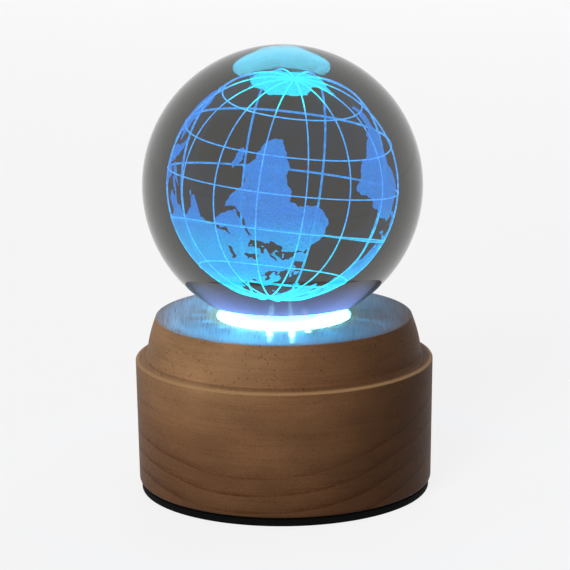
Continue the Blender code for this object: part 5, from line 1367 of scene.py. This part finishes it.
class LAMP_OT_stage(bpy.types.Operator):
    """Set up the floor, the world, the soft lamps and the camera"""

    bl_idname = "lamp.stage"
    bl_label = "Stage"

    def execute(self, context):
        build_stage(context.scene.lamp_sizes, context.scene.lamp_colours)
        return {"FINISHED"}


class LAMP_OT_ball(bpy.types.Operator):
    """Make the polished ball"""

    bl_idname = "lamp.ball"
    bl_label = "Ball"

    def execute(self, context):
        build_ball()
        return {"FINISHED"}


class LAMP_OT_globe(bpy.types.Operator):
    """Engrave the globe inside the ball"""

    bl_idname = "lamp.globe"
    bl_label = "Engraved globe"

    def execute(self, context):
        build_globe(context.scene.lamp_sizes, context.scene.lamp_colours)
        return {"FINISHED"}


class LAMP_OT_base(bpy.types.Operator):
    """Turn the wooden base"""

    bl_idname = "lamp.base"
    bl_label = "Wooden base"

    def execute(self, context):
        build_base(context.scene.lamp_sizes, context.scene.lamp_colours)
        return {"FINISHED"}


class LAMP_OT_window(bpy.types.Operator):
    """Make the lit window and the foam pad"""

    bl_idname = "lamp.window"
    bl_label = "Window and pad"

    def execute(self, context):
        build_window(context.scene.lamp_sizes, context.scene.lamp_colours)
        build_pad(context.scene.lamp_colours)
        return {"FINISHED"}


class LAMP_OT_back(bpy.types.Operator):
    """Make the plate, the button and the port at the back"""

    bl_idname = "lamp.back"
    bl_label = "Plate, button and port"

    def execute(self, context):
        build_plate(context.scene.lamp_sizes, context.scene.lamp_colours)
        build_button(context.scene.lamp_colours)
        build_port()
        return {"FINISHED"}


class LAMP_OT_inside(bpy.types.Operator):
    """Give the pieces inside their finishes"""

    bl_idname = "lamp.inside"
    bl_label = "Finishes inside"

    def execute(self, context):
        finish_inside()
        return {"FINISHED"}


class LAMP_PT_panel(bpy.types.Panel):
    """The lamp's pieces, sizes and colours"""

    bl_idname = "LAMP_PT_panel"
    bl_label = "Crystal ball lamp"
    bl_space_type = "VIEW_3D"
    bl_region_type = "UI"
    bl_category = "Lamp"

    def draw(self, context):
        for operator in OPERATORS:
            self.layout.operator(operator.bl_idname)
        for group in (context.scene.lamp_sizes, context.scene.lamp_colours):
            for name in group.__annotations__:
                self.layout.prop(group, name)


OPERATORS = (LAMP_OT_stage, LAMP_OT_ball, LAMP_OT_globe, LAMP_OT_base, LAMP_OT_window, LAMP_OT_back,
             LAMP_OT_inside)
CLASSES = (LampSizes, LampColours, *OPERATORS, LAMP_PT_panel)


def register():
    """Register the classes and their settings."""
    for made in CLASSES:
        bpy.utils.register_class(made)
    bpy.types.Scene.lamp_sizes = PointerProperty(type=LampSizes)
    bpy.types.Scene.lamp_colours = PointerProperty(type=LampColours)


def unregister():
    """Take the classes and their settings out again."""
    del bpy.types.Scene.lamp_colours
    del bpy.types.Scene.lamp_sizes
    for made in reversed(CLASSES):
        bpy.utils.unregister_class(made)


def main():
    """Build every piece."""
    register()
    bpy.ops.lamp.stage()
    bpy.ops.lamp.ball()
    bpy.ops.lamp.globe()
    bpy.ops.lamp.base()
    bpy.ops.lamp.window()
    bpy.ops.lamp.back()
    bpy.ops.lamp.inside()


if __name__ == "__main__":
    main()
